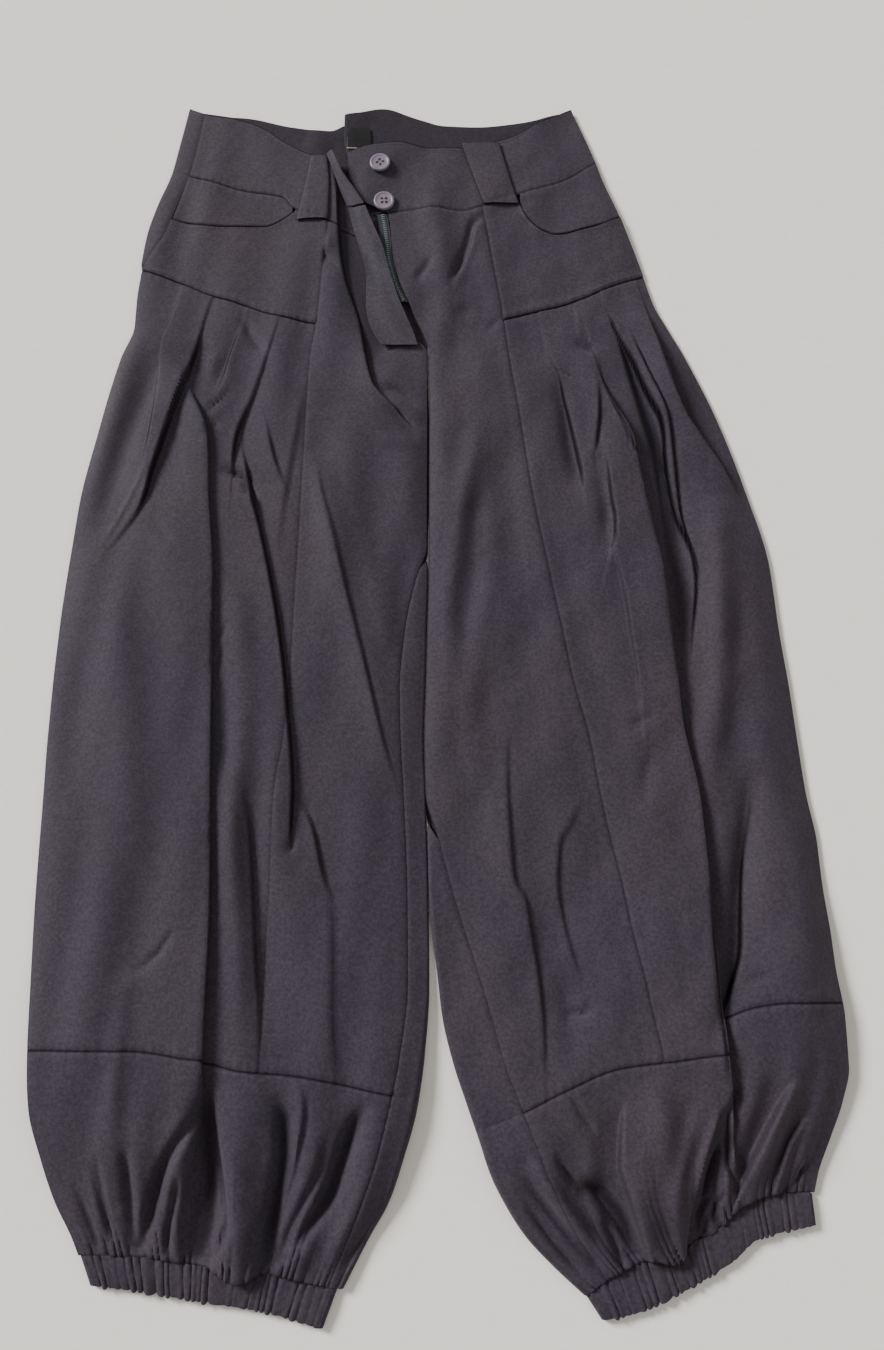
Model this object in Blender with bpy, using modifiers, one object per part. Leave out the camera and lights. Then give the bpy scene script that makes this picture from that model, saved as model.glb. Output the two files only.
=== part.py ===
"""Balloon trousers laid flat with the fly open: a Blender script, run as it stands.

The row's X runs to the wearer's left, Y towards the waist and Z up, with the floor at z = 0.
Tables are in millimetres. Right and left are the wearer's, so the right leg lies at -X.
Each cloth panel is a wall round a middle surface. A front panel's middle surface is a plan region
lifted by front(), and a back panel lies on the floor and curls round the leg's edge.
"""
import math

import bmesh
import bpy
import numpy as np

MM = 0.001
CLOTH = 1.2
SEAM = 0.3
FLOOR_MID = CLOTH / 2
LIE = CLOTH + SEAM
GAP = SEAM / 2
BAND_GAP = GAP + 0.08
FRONT_LEVEL = 5.2
SIDE_ROUND = 9.0
LOOP_LIFT = LIE + 0.25
POCKET_DROP = LIE + 0.7
POCKET_TUCK = 3.0
PLEAT_START = 9.0
STAND_FOLD_X = -39.8
BUTTON_DIAMETER = 18.0
BUTTON_THICKNESS = 3.2
BUTTON_HOLE = 1.9
BUTTON_HOLE_RING = 2.1
CUFF_GATHERS = 24
CUFF_LEVEL = 4.6
CUFF_WAVE = 0.9
CUFF_SWELL = 0.6
ZIP_LEVEL = 4.4
ZIP_TAPE_THICKNESS = 1.0
ZIP_TEETH_WIDTH = 3.0
ZIP_TEETH_HEIGHT = 1.5
ZIP_TEETH_INSET = 5.0
LABEL_THICKNESS = 1.0

# Column stops beside a fold, in half widths: close together where the cloth doubles back
FOLD_BLOCK = (-3.0, -2.0, -1.4, -1.1, -0.85, -0.6, 0.0, 0.6, 0.85, 1.1, 1.4, 2.0, 3.0)
STEP_BLOCK = (-2.2, -1.1, 0.0, 1.1, 2.2)
BAND_STEPS = (-0.6, 0.3, 1.2, 2.0)

CLOTH_COLOUR = (0.072, 0.060, 0.071)
FACING_COLOUR = (0.060, 0.052, 0.062)
BUTTON_COLOUR = (0.27, 0.21, 0.26)
ZIP_COLOUR = (0.060, 0.085, 0.090)
LABEL_COLOUR = (0.010, 0.010, 0.012)

# Sections of each leg from the waist down, and the columns that a row holds
SECTION_COLUMNS = ("y", "outer", "side", "princess", "inseam", "inner")
RIGHT_SECTIONS = (
    (487, -219, -204, -104, -5, -5),
    (450, -225, -209, -100, -5, -5),
    (420, -230, -214, -94, -5, -5),
    (385, -241, -224, -91, -5, -5),
    (355, -248, -233, -92, -5, -5),
    (322, -251, -249, -95, -5, -5),
    (290, -252, -252, -97, -5, -5),
    (267, -252, -252, -99, -5, -5),
    (237, -261, -261, -103, -5, -5),
    (204, -268, -268, -104, -4, -4),
    (165, -275, -275, -105, -3, -3),
    (110, -284, -284, -106, -3, -3),
    (70, -287, -287, -107, -4, -4),
    (40, -289, -289, -108, -13, -4),
    (0, -291, -291, -109, -21, -5),
    (-50, -292, -292, -110, -25, -6),
    (-85, -292, -292, -112, -24, -7),
    (-135, -291, -291, -118, -21, -5),
    (-200, -290, -290, -119, -18, -3),
    (-270, -286, -286, -120, -17, -2),
    (-315, -283, -283, -120, -22, -5),
    (-350, -279, -279, -120, -29, -10),
    (-385, -267, -267, -120, -38, -20),
    (-410, -256, -256, -120, -47, -29),
    (-432, -243, -243, -120, -56, -42),
    (-465, -228, -228, -120, -70, -60),
)
LEFT_SECTIONS = (
    (487, 123, 123, 30, -4, -4),
    (430, 143, 143, 34, -4, -4),
    (409, 149, 149, 38, -4, -4),
    (373, 162, 162, 44, -4, -4),
    (325, 177, 177, 51, -4, -4),
    (287, 187, 187, 57, -4, -4),
    (263, 198, 198, 60, -4, -4),
    (236, 211, 211, 63, -4, -4),
    (181, 233, 233, 71, -3, -3),
    (113, 253, 253, 80, -3, -3),
    (50, 267, 267, 91, -3, -3),
    (0, 270, 270, 100, -4, -4),
    (-45, 274, 274, 108, -5, -5),
    (-90, 277, 277, 119, -6, -6),
    (-130, 280, 280, 125, -5, -5),
    (-166, 285, 285, 132, 5, -3),
    (-200, 286, 286, 139, 14, -2),
    (-229, 288, 288, 144, 23, 0),
    (-257, 289, 289, 150, 32, 4),
    (-290, 292, 292, 156, 42, 8),
    (-322, 292, 292, 161, 51, 16),
    (-345, 286, 286, 161, 60, 24),
    (-370, 275, 275, 161, 70, 33),
    (-393, 265, 265, 161, 79, 41),
    (-412, 261, 261, 161, 88, 51),
    (-431, 261, 261, 161, 99, 64),
    (-450, 261, 261, 161, 112, 83),
    (-468, 261, 261, 161, 124, 104),
)

# Seams that run across each half, as rows of x and y
RIGHT_SEAMS = {
    "top": ((-219, 487), (-203, 480), (-171, 473), (-150, 464), (-134, 452), (-107, 437), (-88, 431)),
    "waist": ((-230, 421), (-208, 413), (-168, 401), (-132, 393), (-121, 381), (-89, 366), (-60, 352)),
    "pocket": ((-230, 371), (-190, 366), (-146, 366), (-131, 371), (-119, 378)),
    "yoke": ((-250, 321), (-218, 309), (-190, 296), (-161, 286), (-134, 276), (-98, 268)),
    "band": ((-284, -312), (-214, -312), (-160, -319), (-135, -325), (-93, -329), (-40, -339), (-9, -345)),
    "cuff": ((-236, -443), (-200, -443), (-160, -449), (-110, -456), (-63, -463)),
    "hem": ((-228, -461), (-199, -464), (-159, -470), (-110, -477), (-72, -487.2)),
    "back_top": ((-219, 487), (-203, 482), (-169, 480), (-126, 470), (-92, 466)),
}
LEFT_SEAMS = {
    "top": ((-76, 443), (-54, 449), (-31, 450), (-7, 445), (25, 445), (68, 456), (102, 475), (123, 487)),
    "waist": ((-56, 373), (-32, 379), (-7, 381), (26, 380), (44, 385), (78, 398), (111, 409), (143, 430)),
    "pocket": ((73, 393), (76, 383), (82, 372), (94, 362), (105, 359), (134, 364), (164, 373)),
    "yoke": ((59, 271), (84, 279), (107, 285), (131, 294), (155, 305), (180, 315)),
    "band": ((31, -365), (60, -354), (94, -338), (130, -324), (181, -317), (199, -313), (210, -290),
             (233, -282), (253, -280), (291, -280)),
    "cuff": ((104, -467), (130, -458), (165, -444), (200, -426), (230, -411), (260, -404)),
    "hem": ((114, -482), (135, -478), (172, -463), (205, -445), (221, -433), (261, -424)),
    "back_top": ((-78, 473), (-67, 481), (-45, 487), (-12, 477), (9, 471), (38, 470), (74, 474), (123, 487)),
}

# The back's waist seam, two straight runs, and the x where each pocket opening meets the waist seam
BACK_WAIST = ((-230, 421), (-4.5, 413), (143, 430))
POCKET_CORNER = {"right": -121.0, "left": 74.0}

# Folds: the side that lies on top (1 is -X, -1 is +X, 0 a soft ridge or trough), the fold's half
# width, how far its high side takes to settle, and rows of y, x, height and overlap
FOLD_COLUMNS = ("y", "x", "height", "overlap")
RIGHT_FOLDS = (
    ("main_overlap", 1, 4.0, 34.0, (
        (225, -209, 0, 0), (200, -198, 4, 2), (182, -192, 6, 6), (162, -187, 6.5, 7.5), (115, -184, 7, 8),
        (45, -177, 7, 8), (-21, -174, 7, 8), (-124, -169, 7, 8), (-242, -164, 7, 8), (-319, -163, 6.5, 8),
        (-355, -160, 5, 5), (-385, -164, 3, 2), (-425, -172, 0, 0))),
    ("outer_pleat", -1, 3.5, 16.0, (
        (312, -214, 1.5, 0), (270, -226, 3.5, 0), (220, -229, 5, 0), (187, -225, 5.5, 0), (150, -235, 5, 0),
        (91, -257, 4, 0), (60, -266, 1, 0))),
    ("second_pleat", 1, 3.5, 14.0, (
        (300, -190, 2, 0), (257, -198, 4, 0), (204, -210, 4.5, 0), (139, -228, 4, 0), (89, -246, 3, 0),
        (55, -261, 0, 0))),
    ("third_pleat", 1, 2.5, 20.0, ((288, -160, 1.5, 0), (246, -168, 3, 0), (215, -177, 0, 0))),
    ("fourth_pleat", 1, 2.5, 22.0, (
        (277, -129, 1.5, 0), (242, -137, 3, 0), (182, -156, 3, 0), (143, -163, 2.5, 0), (125, -168, 0, 0))),
    ("long_fold", 1, 3.0, 26.0, (
        (135, -151, 0, 0), (115, -147, 4, 0), (84, -138, 5.5, 0), (8, -121, 5.5, 0), (-57, -111, 5, 0),
        (-134, -104, 4, 0), (-175, -104, 0, 0))),
    ("fly_fold", 1, 3.0, 24.0, (
        (440, -93, 2, 0), (400, -84, 5, 0), (367, -82, 6, 0), (342, -80, 6, 0), (312, -75, 6, 0),
        (275, -63, 6, 0), (211, -50, 5, 0), (184, -28, 3, 0), (165, -15, 0, 0), (140, -24, 0, 0),
        (60, -60, 0, 0))),
    ("centre_ridge", 0, 9.0, 0.0, (
        (150, -97, 0, 0), (117, -89, 3, 0), (34, -69, 3.5, 0), (-43, -48, 3, 0), (-98, -34, 2, 0),
        (-134, -24, 0, 0))),
    ("knee_ridge", 0, 7.0, 0.0, (
        (-100, -155, 0, 0), (-145, -150, 3.5, 0), (-244, -138, 3.5, 0), (-300, -134, 1, 0),
        (-330, -132, 0, 0))),
    ("knee_trough", 0, 8.0, 0.0, (
        (-110, -135, 0, 0), (-160, -133, -2, 0), (-251, -120, -2, 0), (-316, -118, -1, 0),
        (-335, -118, 0, 0))),
    ("outer_swell", 0, 26.0, 0.0, (
        (120, -240, 0, 0), (0, -245, 3, 0), (-150, -240, 4, 0), (-300, -236, 2, 0), (-340, -232, 0, 0))),
)
LEFT_FOLDS = (
    ("main_overlap", 1, 4.0, 34.0, (
        (245, 134, 0, 0), (215, 139, 4, 2), (186, 147, 6, 6), (156, 158, 6.5, 7.5), (110, 165, 7, 8),
        (38, 177, 7, 8), (-36, 182, 7, 8), (-73, 184, 7, 8), (-139, 194, 7, 8), (-211, 197, 7, 8),
        (-299, 201, 7, 8), (-336, 202, 6, 8), (-370, 205, 5, 5), (-395, 208, 3, 0), (-420, 210, 0, 0))),
    ("first_pleat", 1, 2.5, 20.0, (
        (281, 92, 1.5, 0), (252, 98, 3, 0), (199, 110, 3.5, 0), (143, 121, 2.5, 0), (112, 124, 0, 0))),
    ("second_pleat", -1, 3.0, 18.0, (
        (290, 120, 1.5, 0), (249, 130, 3, 0), (225, 137, 3.5, 0), (194, 138, 3.5, 0), (156, 133, 3, 0),
        (106, 143, 4, 0), (48, 150, 3, 0), (-36, 157, 1.5, 0), (-60, 158, 0, 0))),
    ("third_pleat", 1, 3.5, 18.0, (
        (302, 147, 1.5, 0), (265, 153, 4, 0), (225, 161, 5, 0), (166, 172, 4, 0), (98, 182, 0, 0))),
    ("outer_fold", 1, 3.5, 16.0, (
        (280, 182, 0, 0), (241, 189, 4, 0), (191, 203, 5, 0), (156, 224, 4.5, 0), (133, 236, 3, 0),
        (108, 251, 0, 0))),
    ("hip_crease", 1, 2.5, 16.0, (
        (262, 163, 0, 0), (223, 176, 3, 0), (171, 193, 3, 0), (94, 198, 3, 0), (45, 208, 2, 0),
        (15, 207, 0, 0))),
    ("outer_ridge", 0, 9.0, 0.0, (
        (110, 229, 0, 0), (81, 227, 4, 0), (10, 223, 4.5, 0), (-58, 217, 4.5, 0), (-128, 206, 2, 0),
        (-150, 204, 0, 0))),
    ("outer_trough", 0, 7.0, 0.0, (
        (-105, 240, 0, 0), (-128, 238, -2, 0), (-180, 231, -2.4, 0), (-241, 222, -2.4, 0), (-285, 214, -1, 0),
        (-300, 212, 0, 0))),
    ("outer_swell", 0, 20.0, 0.0, (
        (-60, 252, 0, 0), (-150, 260, 3, 0), (-250, 258, 4, 0), (-330, 250, 3, 0), (-400, 240, 0, 0))),
    ("fly_ridge", 0, 6.5, 0.0, (
        (440, 0, 0, 0), (405, 2, 3.5, 0), (324, 7, 4.5, 0), (265, 8, 4, 0), (218, 1, 2.5, 0), (120, 6, 2, 0),
        (-60, 8, 2, 0), (-120, 10, 0, 0))),
    ("stand_prop", 0, 26.0, 0.0, ((470, -48, 2.6, 0), (440, -48, 2.2, 0), (415, -48, 0, 0))),
)
BACK_OVERLAP = ("back_overlap", -1, 3.0, 45.0, (
    (490, -74, 4.6, 8.0), (455, -74, 4.4, 8.0), (440, -74, 3.4, 5.0), (425, -74, 0, 0)))

# Gathers of the hem bands: place across the leg at the band seam and at the cuff, height, width
RIGHT_GATHERS = (
    (0.24, 0.12, 2.5, 0.020), (0.34, 0.21, 3.5, 0.030), (0.44, 0.33, 3.5, 0.024), (0.50, 0.58, 5.5, 0.042),
    (0.73, 0.79, 5.5, 0.042), (0.915, 0.905, 4.0, 0.030),
)
LEFT_GATHERS = (
    (0.94, 0.95, 2.5, 0.020), (0.80, 0.86, 4.5, 0.040), (0.67, 0.74, 3.0, 0.025), (0.46, 0.63, 5.5, 0.050),
    (0.34, 0.50, 3.0, 0.020), (0.30, 0.40, 3.0, 0.020), (0.21, 0.30, 4.0, 0.026), (0.12, 0.20, 4.0, 0.026),
    (0.05, 0.07, 2.5, 0.020),
)

# Height of the front's middle surface at the inner edge, by y
RIGHT_INNER_LEVEL = ((450, 3.4), (80, 3.2), (40, 3.4), (-300, 4.2), (-460, 4.6))
LEFT_INNER_LEVEL = ((450, 3.2), (-110, 3.2), (-150, 5.0), (-300, 5.6), (-460, 4.8))

# Height of the front's middle surface at the outer edge, by y
RIGHT_OUTER_LEVEL = ((487, 3.4), (330, 3.4), (300, 2.6), (-300, 2.6), (-460, 3.0))
LEFT_OUTER_LEVEL = ((487, 2.8), (430, 3.2), (373, 4.9), (340, 3.6), (300, 2.6), (-300, 2.6), (-400, 3.0))

# Levels of the rows that the panels of each leg share, at the princess seam
RIGHT_LEVELS = (268, 240, 205, 165, 125, 90, 66, 47, 5, -45, -90, -140, -190, -235, -280, -326)
LEFT_LEVELS = (271, 240, 205, 165, 120, 75, 30, -20, -65, -105, -144, -168, -205, -240, -275, -320)
BAND_FADE = -200

# Where each back panel curls round an edge: y where the curl is whole, y where it has ended
RIGHT_INNER_CURL = (48, 64)
LEFT_INNER_CURL = (-166, -146)
RIGHT_OUTER_CURL = (326, 319)

# Front edges beside the open fly, as rows of y and x
RIGHT_FLY_EDGE = ((440, -86), (415, -82), (383, -70), (363, -65), (339, -58), (312, -51), (287, -48),
                  (272, -38), (258, -24), (249, -9), (243, -5))
LEFT_FLY_EDGE = ((443, -76), (415, -74), (402, -68), (388, -60), (378, -40), (358, -37), (334, -35),
                 (316, -31), (298, -25), (289, -21), (274, -15), (260, -9), (247, -4))

# Turned-up waistband end and fly flap, as rows of y, left x, right x, level at the left and the right
WAIST_END = ((436, -94, -89, 8.6, 13.5), (415, -87, -80, 7.4, 12.5), (398, -81, -69, 7.0, 11.5),
             (383, -75, -60, 7.0, 10.5))
FLY_FLAP = ((381, -74, -59, 7.0, 10.4), (363, -70, -52, 7.0, 10.0), (339, -63, -43, 7.0, 9.8),
            (312, -57, -36, 7.0, 9.4), (287, -57, -28, 7.0, 8.8), (272, -55, -22, 7.0, 8.2),
            (257, -49, -16, 7.2, 7.6), (247, -43, -13, 7.4, 7.2))

# Where the back overlap's upper layer starts to settle, under the label
LABEL_START = -71.0

# Zip tape, belt loops and label, as rows of y, left x and right x
ZIP_TAPE = ((376, -49, -40.5), (358, -47, -37.5), (334, -45, -35.5), (316, -41, -31.5), (298, -35, -25.5),
            (289, -31, -21.5))
RIGHT_LOOP = ((434, -108, -94), (400, -113, -91), (368, -119, -91))
LEFT_LOOP = ((448, 24, 58), (415, 34, 66), (386, 43, 74))
LABEL_ROWS = ((464, -74, -57), (455, -75, -56), (446, -75.5, -56))

BUTTON_CENTRES = ((-47, 426), (-43, 388))

# Profile of a button from its middle round to its underside: share of the radius, height
BUTTON_PROFILE = ((0.0, 2.2), (0.5, 2.2), (0.62, 2.3), (0.78, BUTTON_THICKNESS),
                  (0.92, BUTTON_THICKNESS - 0.2), (1.0, 1.8), (0.97, 1.0), (0.8, 0.0), (0.0, 0.0))


def smooth(rows, place, column=1):
    """Curve through the rows' values of one column, by their first value: a cubic in each span whose
    end slopes are the harmonic mean of the neighbouring slopes, so it never overshoots a row."""
    rows = sorted(rows)
    at = np.array([row[0] for row in rows], float)
    value = np.array([row[column] for row in rows], float)
    rise = np.diff(value) / np.diff(at)
    slope = np.zeros(len(at))
    product = rise[:-1] * rise[1:]
    total = np.where(product > 0, rise[:-1] + rise[1:], 1.0)
    slope[1:-1] = np.where(product > 0, 2 * product / total, 0.0)
    slope[0] = rise[0]
    slope[-1] = rise[-1]
    place = np.clip(place, at[0], at[-1])
    span = np.clip(np.searchsorted(at, place, side="right") - 1, 0, len(at) - 2)
    step = at[span + 1] - at[span]
    t = (place - at[span]) / step
    return ((1 + 2 * t) * (1 - t) ** 2 * value[span] + t * (1 - t) ** 2 * step * slope[span]
            + t * t * (3 - 2 * t) * value[span + 1] + t * t * (t - 1) * step * slope[span + 1])


def ease(start, end, value):
    """0 at start, 1 at end, with level ends."""
    t = np.clip((value - start) / (end - start), 0.0, 1.0)
    return t * t * (3 - 2 * t)


class Half:
    """One half of the trousers: its sections, seams, folds and gathers."""

    def __init__(self, name, inward, sections, seams, folds, gathers, inner_level, outer_level, levels):
        self.name = name
        self.outer_level = outer_level
        self.levels = levels
        self.inward = inward
        self.sections = sections
        self.seams = seams
        self.folds = folds
        self.gathers = gathers
        self.inner_level = inner_level

    def line(self, column, y):
        """x of an edge or an upright seam at y."""
        return smooth(self.sections, y, SECTION_COLUMNS.index(column))

    def seam(self, name, x):
        """y of a seam that runs across, at x. The hip yoke's top is the pocket opening, then the
        waist seam."""
        if name == "hip":
            past = self.inward * (x - POCKET_CORNER[self.name]) > 0
            return np.where(past, self.seam("waist", x), self.seam("pocket", x))
        return smooth(self.seams[name], x)

    def across(self, x, y):
        """Place across the leg, 0 at the outer edge and 1 at the inner one."""
        outer = self.line("outer", y)
        return (x - outer) / (self.line("inner", y) - outer)


RIGHT = Half("right", 1, RIGHT_SECTIONS, RIGHT_SEAMS, RIGHT_FOLDS, RIGHT_GATHERS, RIGHT_INNER_LEVEL,
             RIGHT_OUTER_LEVEL, RIGHT_LEVELS)
LEFT = Half("left", -1, LEFT_SECTIONS, LEFT_SEAMS, LEFT_FOLDS, LEFT_GATHERS, LEFT_INNER_LEVEL,
            LEFT_OUTER_LEVEL, LEFT_LEVELS)


def fold(spec, x, y):
    """Shift and lift of one fold: the cloth runs on past the fold line, back under itself and on
    again, an S whose layers are half its height apart. With no overlap it is a plain soft step,
    and with no side on top a bell-shaped ridge."""
    name, side, width, settle, rows = spec
    centre = smooth(rows, y, FOLD_COLUMNS.index("x"))
    height = smooth(rows, y, FOLD_COLUMNS.index("height"))
    overlap = smooth(rows, y, FOLD_COLUMNS.index("overlap"))
    t = (x - centre) / width
    if side == 0:
        return 0 * t, height * np.exp(-0.5 * t * t)
    shift = -overlap * t * np.exp(0.5 - 0.5 * t * t)
    high = side * -t
    step = 0.5 + 0.5 * np.tanh(1.1 * high)
    layers = 0.5 + 0.25 * (np.tanh((high + 0.8) / 0.3) + np.tanh((high - 0.8) / 0.3))
    share = ease(0.5, 1.2, overlap / width)
    away = np.maximum(high - 1.0, 0.0) * width
    lift = height * ((1 - share) * step + share * layers) * np.exp(-away / settle)
    return shift, lift


def gathers(half, x, y):
    """Folds of the hem band: bell-shaped ridges that grow towards the cuff and die into its seam."""
    down = (half.seam("band", x) - y) / (half.seam("band", x) - half.seam("cuff", x))
    grow = ease(0.0, 0.7, down) * (1 - 0.75 * ease(0.75, 1.0, down))
    place = half.across(x, y)
    lift = 0 * x
    for at_band, at_cuff, height, width in half.gathers:
        centre = at_band + (at_cuff - at_band) * np.clip(down, 0, 1)
        lift = lift + height * np.exp(-0.5 * ((place - centre) / width) ** 2)
    return grow * lift


def front(half, x, y):
    """Middle surface of a front at plan place x, y: level cloth that rounds down at the leg's edges,
    lifted and shifted by its folds."""
    from_outer = np.abs(x - half.line("outer", y))
    from_inner = np.abs(x - half.line("inner", y))
    inner_level = smooth(half.inner_level, y)
    outer_level = smooth(half.outer_level, y)
    level = FRONT_LEVEL - (FRONT_LEVEL - outer_level) * np.exp(-from_outer / SIDE_ROUND)
    level = level - (FRONT_LEVEL - inner_level) * np.exp(-from_inner / SIDE_ROUND)
    quiet = 1 - 0.85 * np.exp(-from_outer / SIDE_ROUND) - 0.85 * np.exp(-from_inner / SIDE_ROUND)
    shift = 0 * x
    lift = gathers(half, x, y)
    below_yoke = ease(0.0, PLEAT_START, half.seam("yoke", x) - y)
    for spec in half.folds:
        one_shift, one_lift = fold(spec, x, y)
        shift = shift + one_shift
        lift = lift + one_lift * (below_yoke if spec[0].endswith("pleat") else 1.0)
    return np.stack([x + shift, y + 0 * x, level + lift * np.clip(quiet, 0.1, 1.0)], axis=-1)


def normals_of(surface, x, y, reach=0.05):
    """Unit normals of a surface function, from its slopes along x and y."""
    along_x = surface(x + reach, y) - surface(x - reach, y)
    along_y = surface(x, y + reach) - surface(x, y - reach)
    normal = np.cross(along_x, along_y)
    return normal / np.linalg.norm(normal, axis=-1, keepdims=True)


def grid_normals(points):
    """Unit normals of a grid of points, from the points on each side."""
    normal = np.cross(np.gradient(points, axis=1), np.gradient(points, axis=0))
    return normal / np.linalg.norm(normal, axis=-1, keepdims=True)


def material(name, colour, roughness=0.8):
    """Plain Principled material."""
    made = bpy.data.materials.new(name)
    made.use_nodes = True
    shader = made.node_tree.nodes["Principled BSDF"]
    shader.inputs["Base Color"].default_value = (*colour, 1.0)
    shader.inputs["Roughness"].default_value = roughness
    shader.inputs["Metallic"].default_value = 0.0
    return made


def add_mesh(name, vertices, faces, colour, roughness=0.8):
    """Object from points in millimetres, with its faces turned outwards."""
    mesh = bpy.data.meshes.new(name)
    mesh.from_pydata((np.asarray(vertices) * MM).tolist(), [], [tuple(face) for face in faces])
    work = bmesh.new()
    work.from_mesh(mesh)
    bmesh.ops.recalc_face_normals(work, faces=work.faces)
    work.to_mesh(mesh)
    work.free()
    mesh.materials.append(material(name, colour, roughness))
    made = bpy.data.objects.new(name, mesh)
    PARTS.objects.link(made)
    return made


def wall(name, middle, normal, colour, closed=False, thickness=CLOTH):
    """Cloth wall: the middle grid moved out and in by half its thickness, joined round its rim.
    A closed grid joins its last column to its first, as a tube."""
    rows, columns = middle.shape[:2]
    upper = middle + normal * thickness / 2
    lower = middle - normal * thickness / 2
    vertices = np.concatenate([upper.reshape(-1, 3), lower.reshape(-1, 3)])
    index = np.arange(rows * columns).reshape(rows, columns)
    if closed:
        index = np.concatenate([index, index[:, :1]], axis=1)
    below = rows * columns
    a, b, c, d = index[:-1, :-1], index[:-1, 1:], index[1:, 1:], index[1:, :-1]
    top = np.stack([a, b, c, d], axis=-1).reshape(-1, 4)
    bottom = top[:, ::-1] + below
    rims = [index[0], index[-1][::-1]]
    if not closed:
        rims += [index[::-1, 0], index[:, -1]]
    sides = [np.stack([rim[1:], rim[:-1], rim[:-1] + below, rim[1:] + below], axis=-1) for rim in rims]
    return add_mesh(name, vertices, np.concatenate([top, bottom] + sides), colour)


def even(count):
    """Rows at even steps from a panel's top seam to its bottom seam, each a y and the shares of the
    top seam and the bottom seam that are added to it."""
    return [(0.0, 1 - step / count, step / count) for step in range(count + 1)]


def at_shares(*shares):
    """Rows at the given shares of the way from the top seam to the bottom seam."""
    return [(0.0, 1 - share, share) for share in shares]


def at_levels(levels, top_fade, bottom_fade):
    """Rows at given y, which turn into the top seam above top_fade and the bottom one below
    bottom_fade, so that panels side by side share their rows."""
    rows = []
    for level in levels:
        upper = max(0.0, (level - top_fade) / (levels[0] - top_fade))
        lower = max(0.0, (bottom_fade - level) / (bottom_fade - levels[-1]))
        rows.append((level - upper * levels[0] - lower * levels[-1], upper, lower))
    return rows


def row_y(rows, top, bottom, x):
    """y of each row at x, a grid with one line for each row."""
    base, upper, lower = (np.array(part, float)[:, None] for part in zip(*rows))
    return base + upper * top(x) + lower * bottom(x)


def plan_grid(stops, steps, top, bottom, rows):
    """Plan places of a panel. Its columns run between stops, functions that give x at y, and its rows
    between two seams, functions that give y at x. A few rounds make both true."""
    columns = []
    for number, count in enumerate(steps):
        columns += [(number, part / count) for part in range(count)]
    columns.append((len(steps) - 1, 1.0))
    x = np.stack([np.full(len(rows), (1 - t) * stops[i](200.0) + t * stops[i + 1](200.0))
                  for i, t in columns], axis=1)
    y = row_y(rows, top, bottom, x)
    for _ in range(40):
        x = np.stack([(1 - t) * stops[i](y[:, j]) + t * stops[i + 1](y[:, j])
                      for j, (i, t) in enumerate(columns)], axis=1)
        y = 0.5 * y + 0.5 * row_y(rows, top, bottom, x)
    return x, y


def front_panel(name, half, stops, steps, top, bottom, rows, colour=CLOTH_COLOUR, drop=None):
    """Front panel on the folded surface. drop, a function of x and y, lowers it where it slips under
    its neighbour."""
    def surface(x, y):
        points = front(half, x, y)
        if drop:
            points[..., 2] -= drop(x, y)
        return points
    x, y = plan_grid(stops, steps, top, bottom, rows)
    return wall(name, surface(x, y), normals_of(surface, x, y), colour)


def edge(half, column, inset=0.0):
    """Upright edge as a function of y, moved towards +X by inset."""
    return lambda y: half.line(column, y) + inset


def across(half, name, inset=0.0):
    """Cross seam as a function of x, moved square to itself by inset, towards +Y."""
    def line(x):
        slope = (half.seam(name, x + 0.5) - half.seam(name, x - 0.5))
        return half.seam(name, x) + inset * np.sqrt(1 + slope * slope)
    return line


def back_waist(x):
    """y of the back's waist seam at x: two straight runs that meet at the centre back."""
    return np.interp(x, [row[0] for row in BACK_WAIST], [row[1] for row in BACK_WAIST])


def table_edge(rows, inset=0.0, column=1):
    """Edge from rows of y and x, moved towards +X by inset."""
    return lambda y: smooth(rows, y, column) + inset


def fold_stops(half, name, block):
    """Stops that follow a fold, at block times its half width."""
    spec = next(spec for spec in half.folds if spec[0] == name)
    return [lambda y, k=k: smooth(spec[4], y) + k * spec[2] for k in block]


def constant(value):
    """Upright line at a fixed x."""
    return lambda y: value + 0 * y


def waistbands():
    """Front waistbands: the right one runs under the turned-up end, the left one is the button stand."""
    steps = fold_stops(RIGHT, "fly_fold", BAND_STEPS)
    front_panel("waistband_front_right", RIGHT,
                [edge(RIGHT, "side", GAP), constant(POCKET_CORNER["right"]), edge(RIGHT, "princess")]
                + steps + [table_edge(RIGHT_FLY_EDGE)],
                [7, 3, 1, 1, 1, 1, 1], across(RIGHT, "top"), across(RIGHT, "waist", GAP), even(3))
    front_panel("waistband_front_left", LEFT,
                [table_edge(LEFT_FLY_EDGE), constant(STAND_FOLD_X), edge(LEFT, "princess"),
                 constant(POCKET_CORNER["left"]), edge(LEFT, "outer")],
                [3, 9, 3, 6], across(LEFT, "top"), across(LEFT, "waist", GAP), even(3))


def pockets_and_yokes():
    """Pocket facings, which slip under the hip yokes, and the hip yokes below the pocket openings."""
    for half in (RIGHT, LEFT):
        corner = constant(POCKET_CORNER[half.name] - 1.5 * half.inward)
        outer = edge(half, "side", GAP if half is RIGHT else 0.0)
        princess = edge(half, "princess", -GAP * half.inward)

        def drop(x, y, half=half):
            top = half.seam("waist", x)
            return POCKET_DROP * ease(0.0, 1.0, (top - y) / (top - half.seam("pocket", x) - 1.0))
        front_panel("pocket_facing_" + half.name, half, [outer, corner], [7 if half is RIGHT else 6],
                    across(half, "waist", -GAP), across(half, "pocket", -POCKET_TUCK), even(3),
                    FACING_COLOUR, drop)
        front_panel("hip_yoke_" + half.name, half, [outer, constant(POCKET_CORNER[half.name]), princess],
                    [7 if half is RIGHT else 6, 3], across(half, "hip", -GAP), across(half, "yoke", GAP),
                    at_shares(0.0, 0.32, 0.6, 0.8, 0.92, 1.0))


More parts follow.
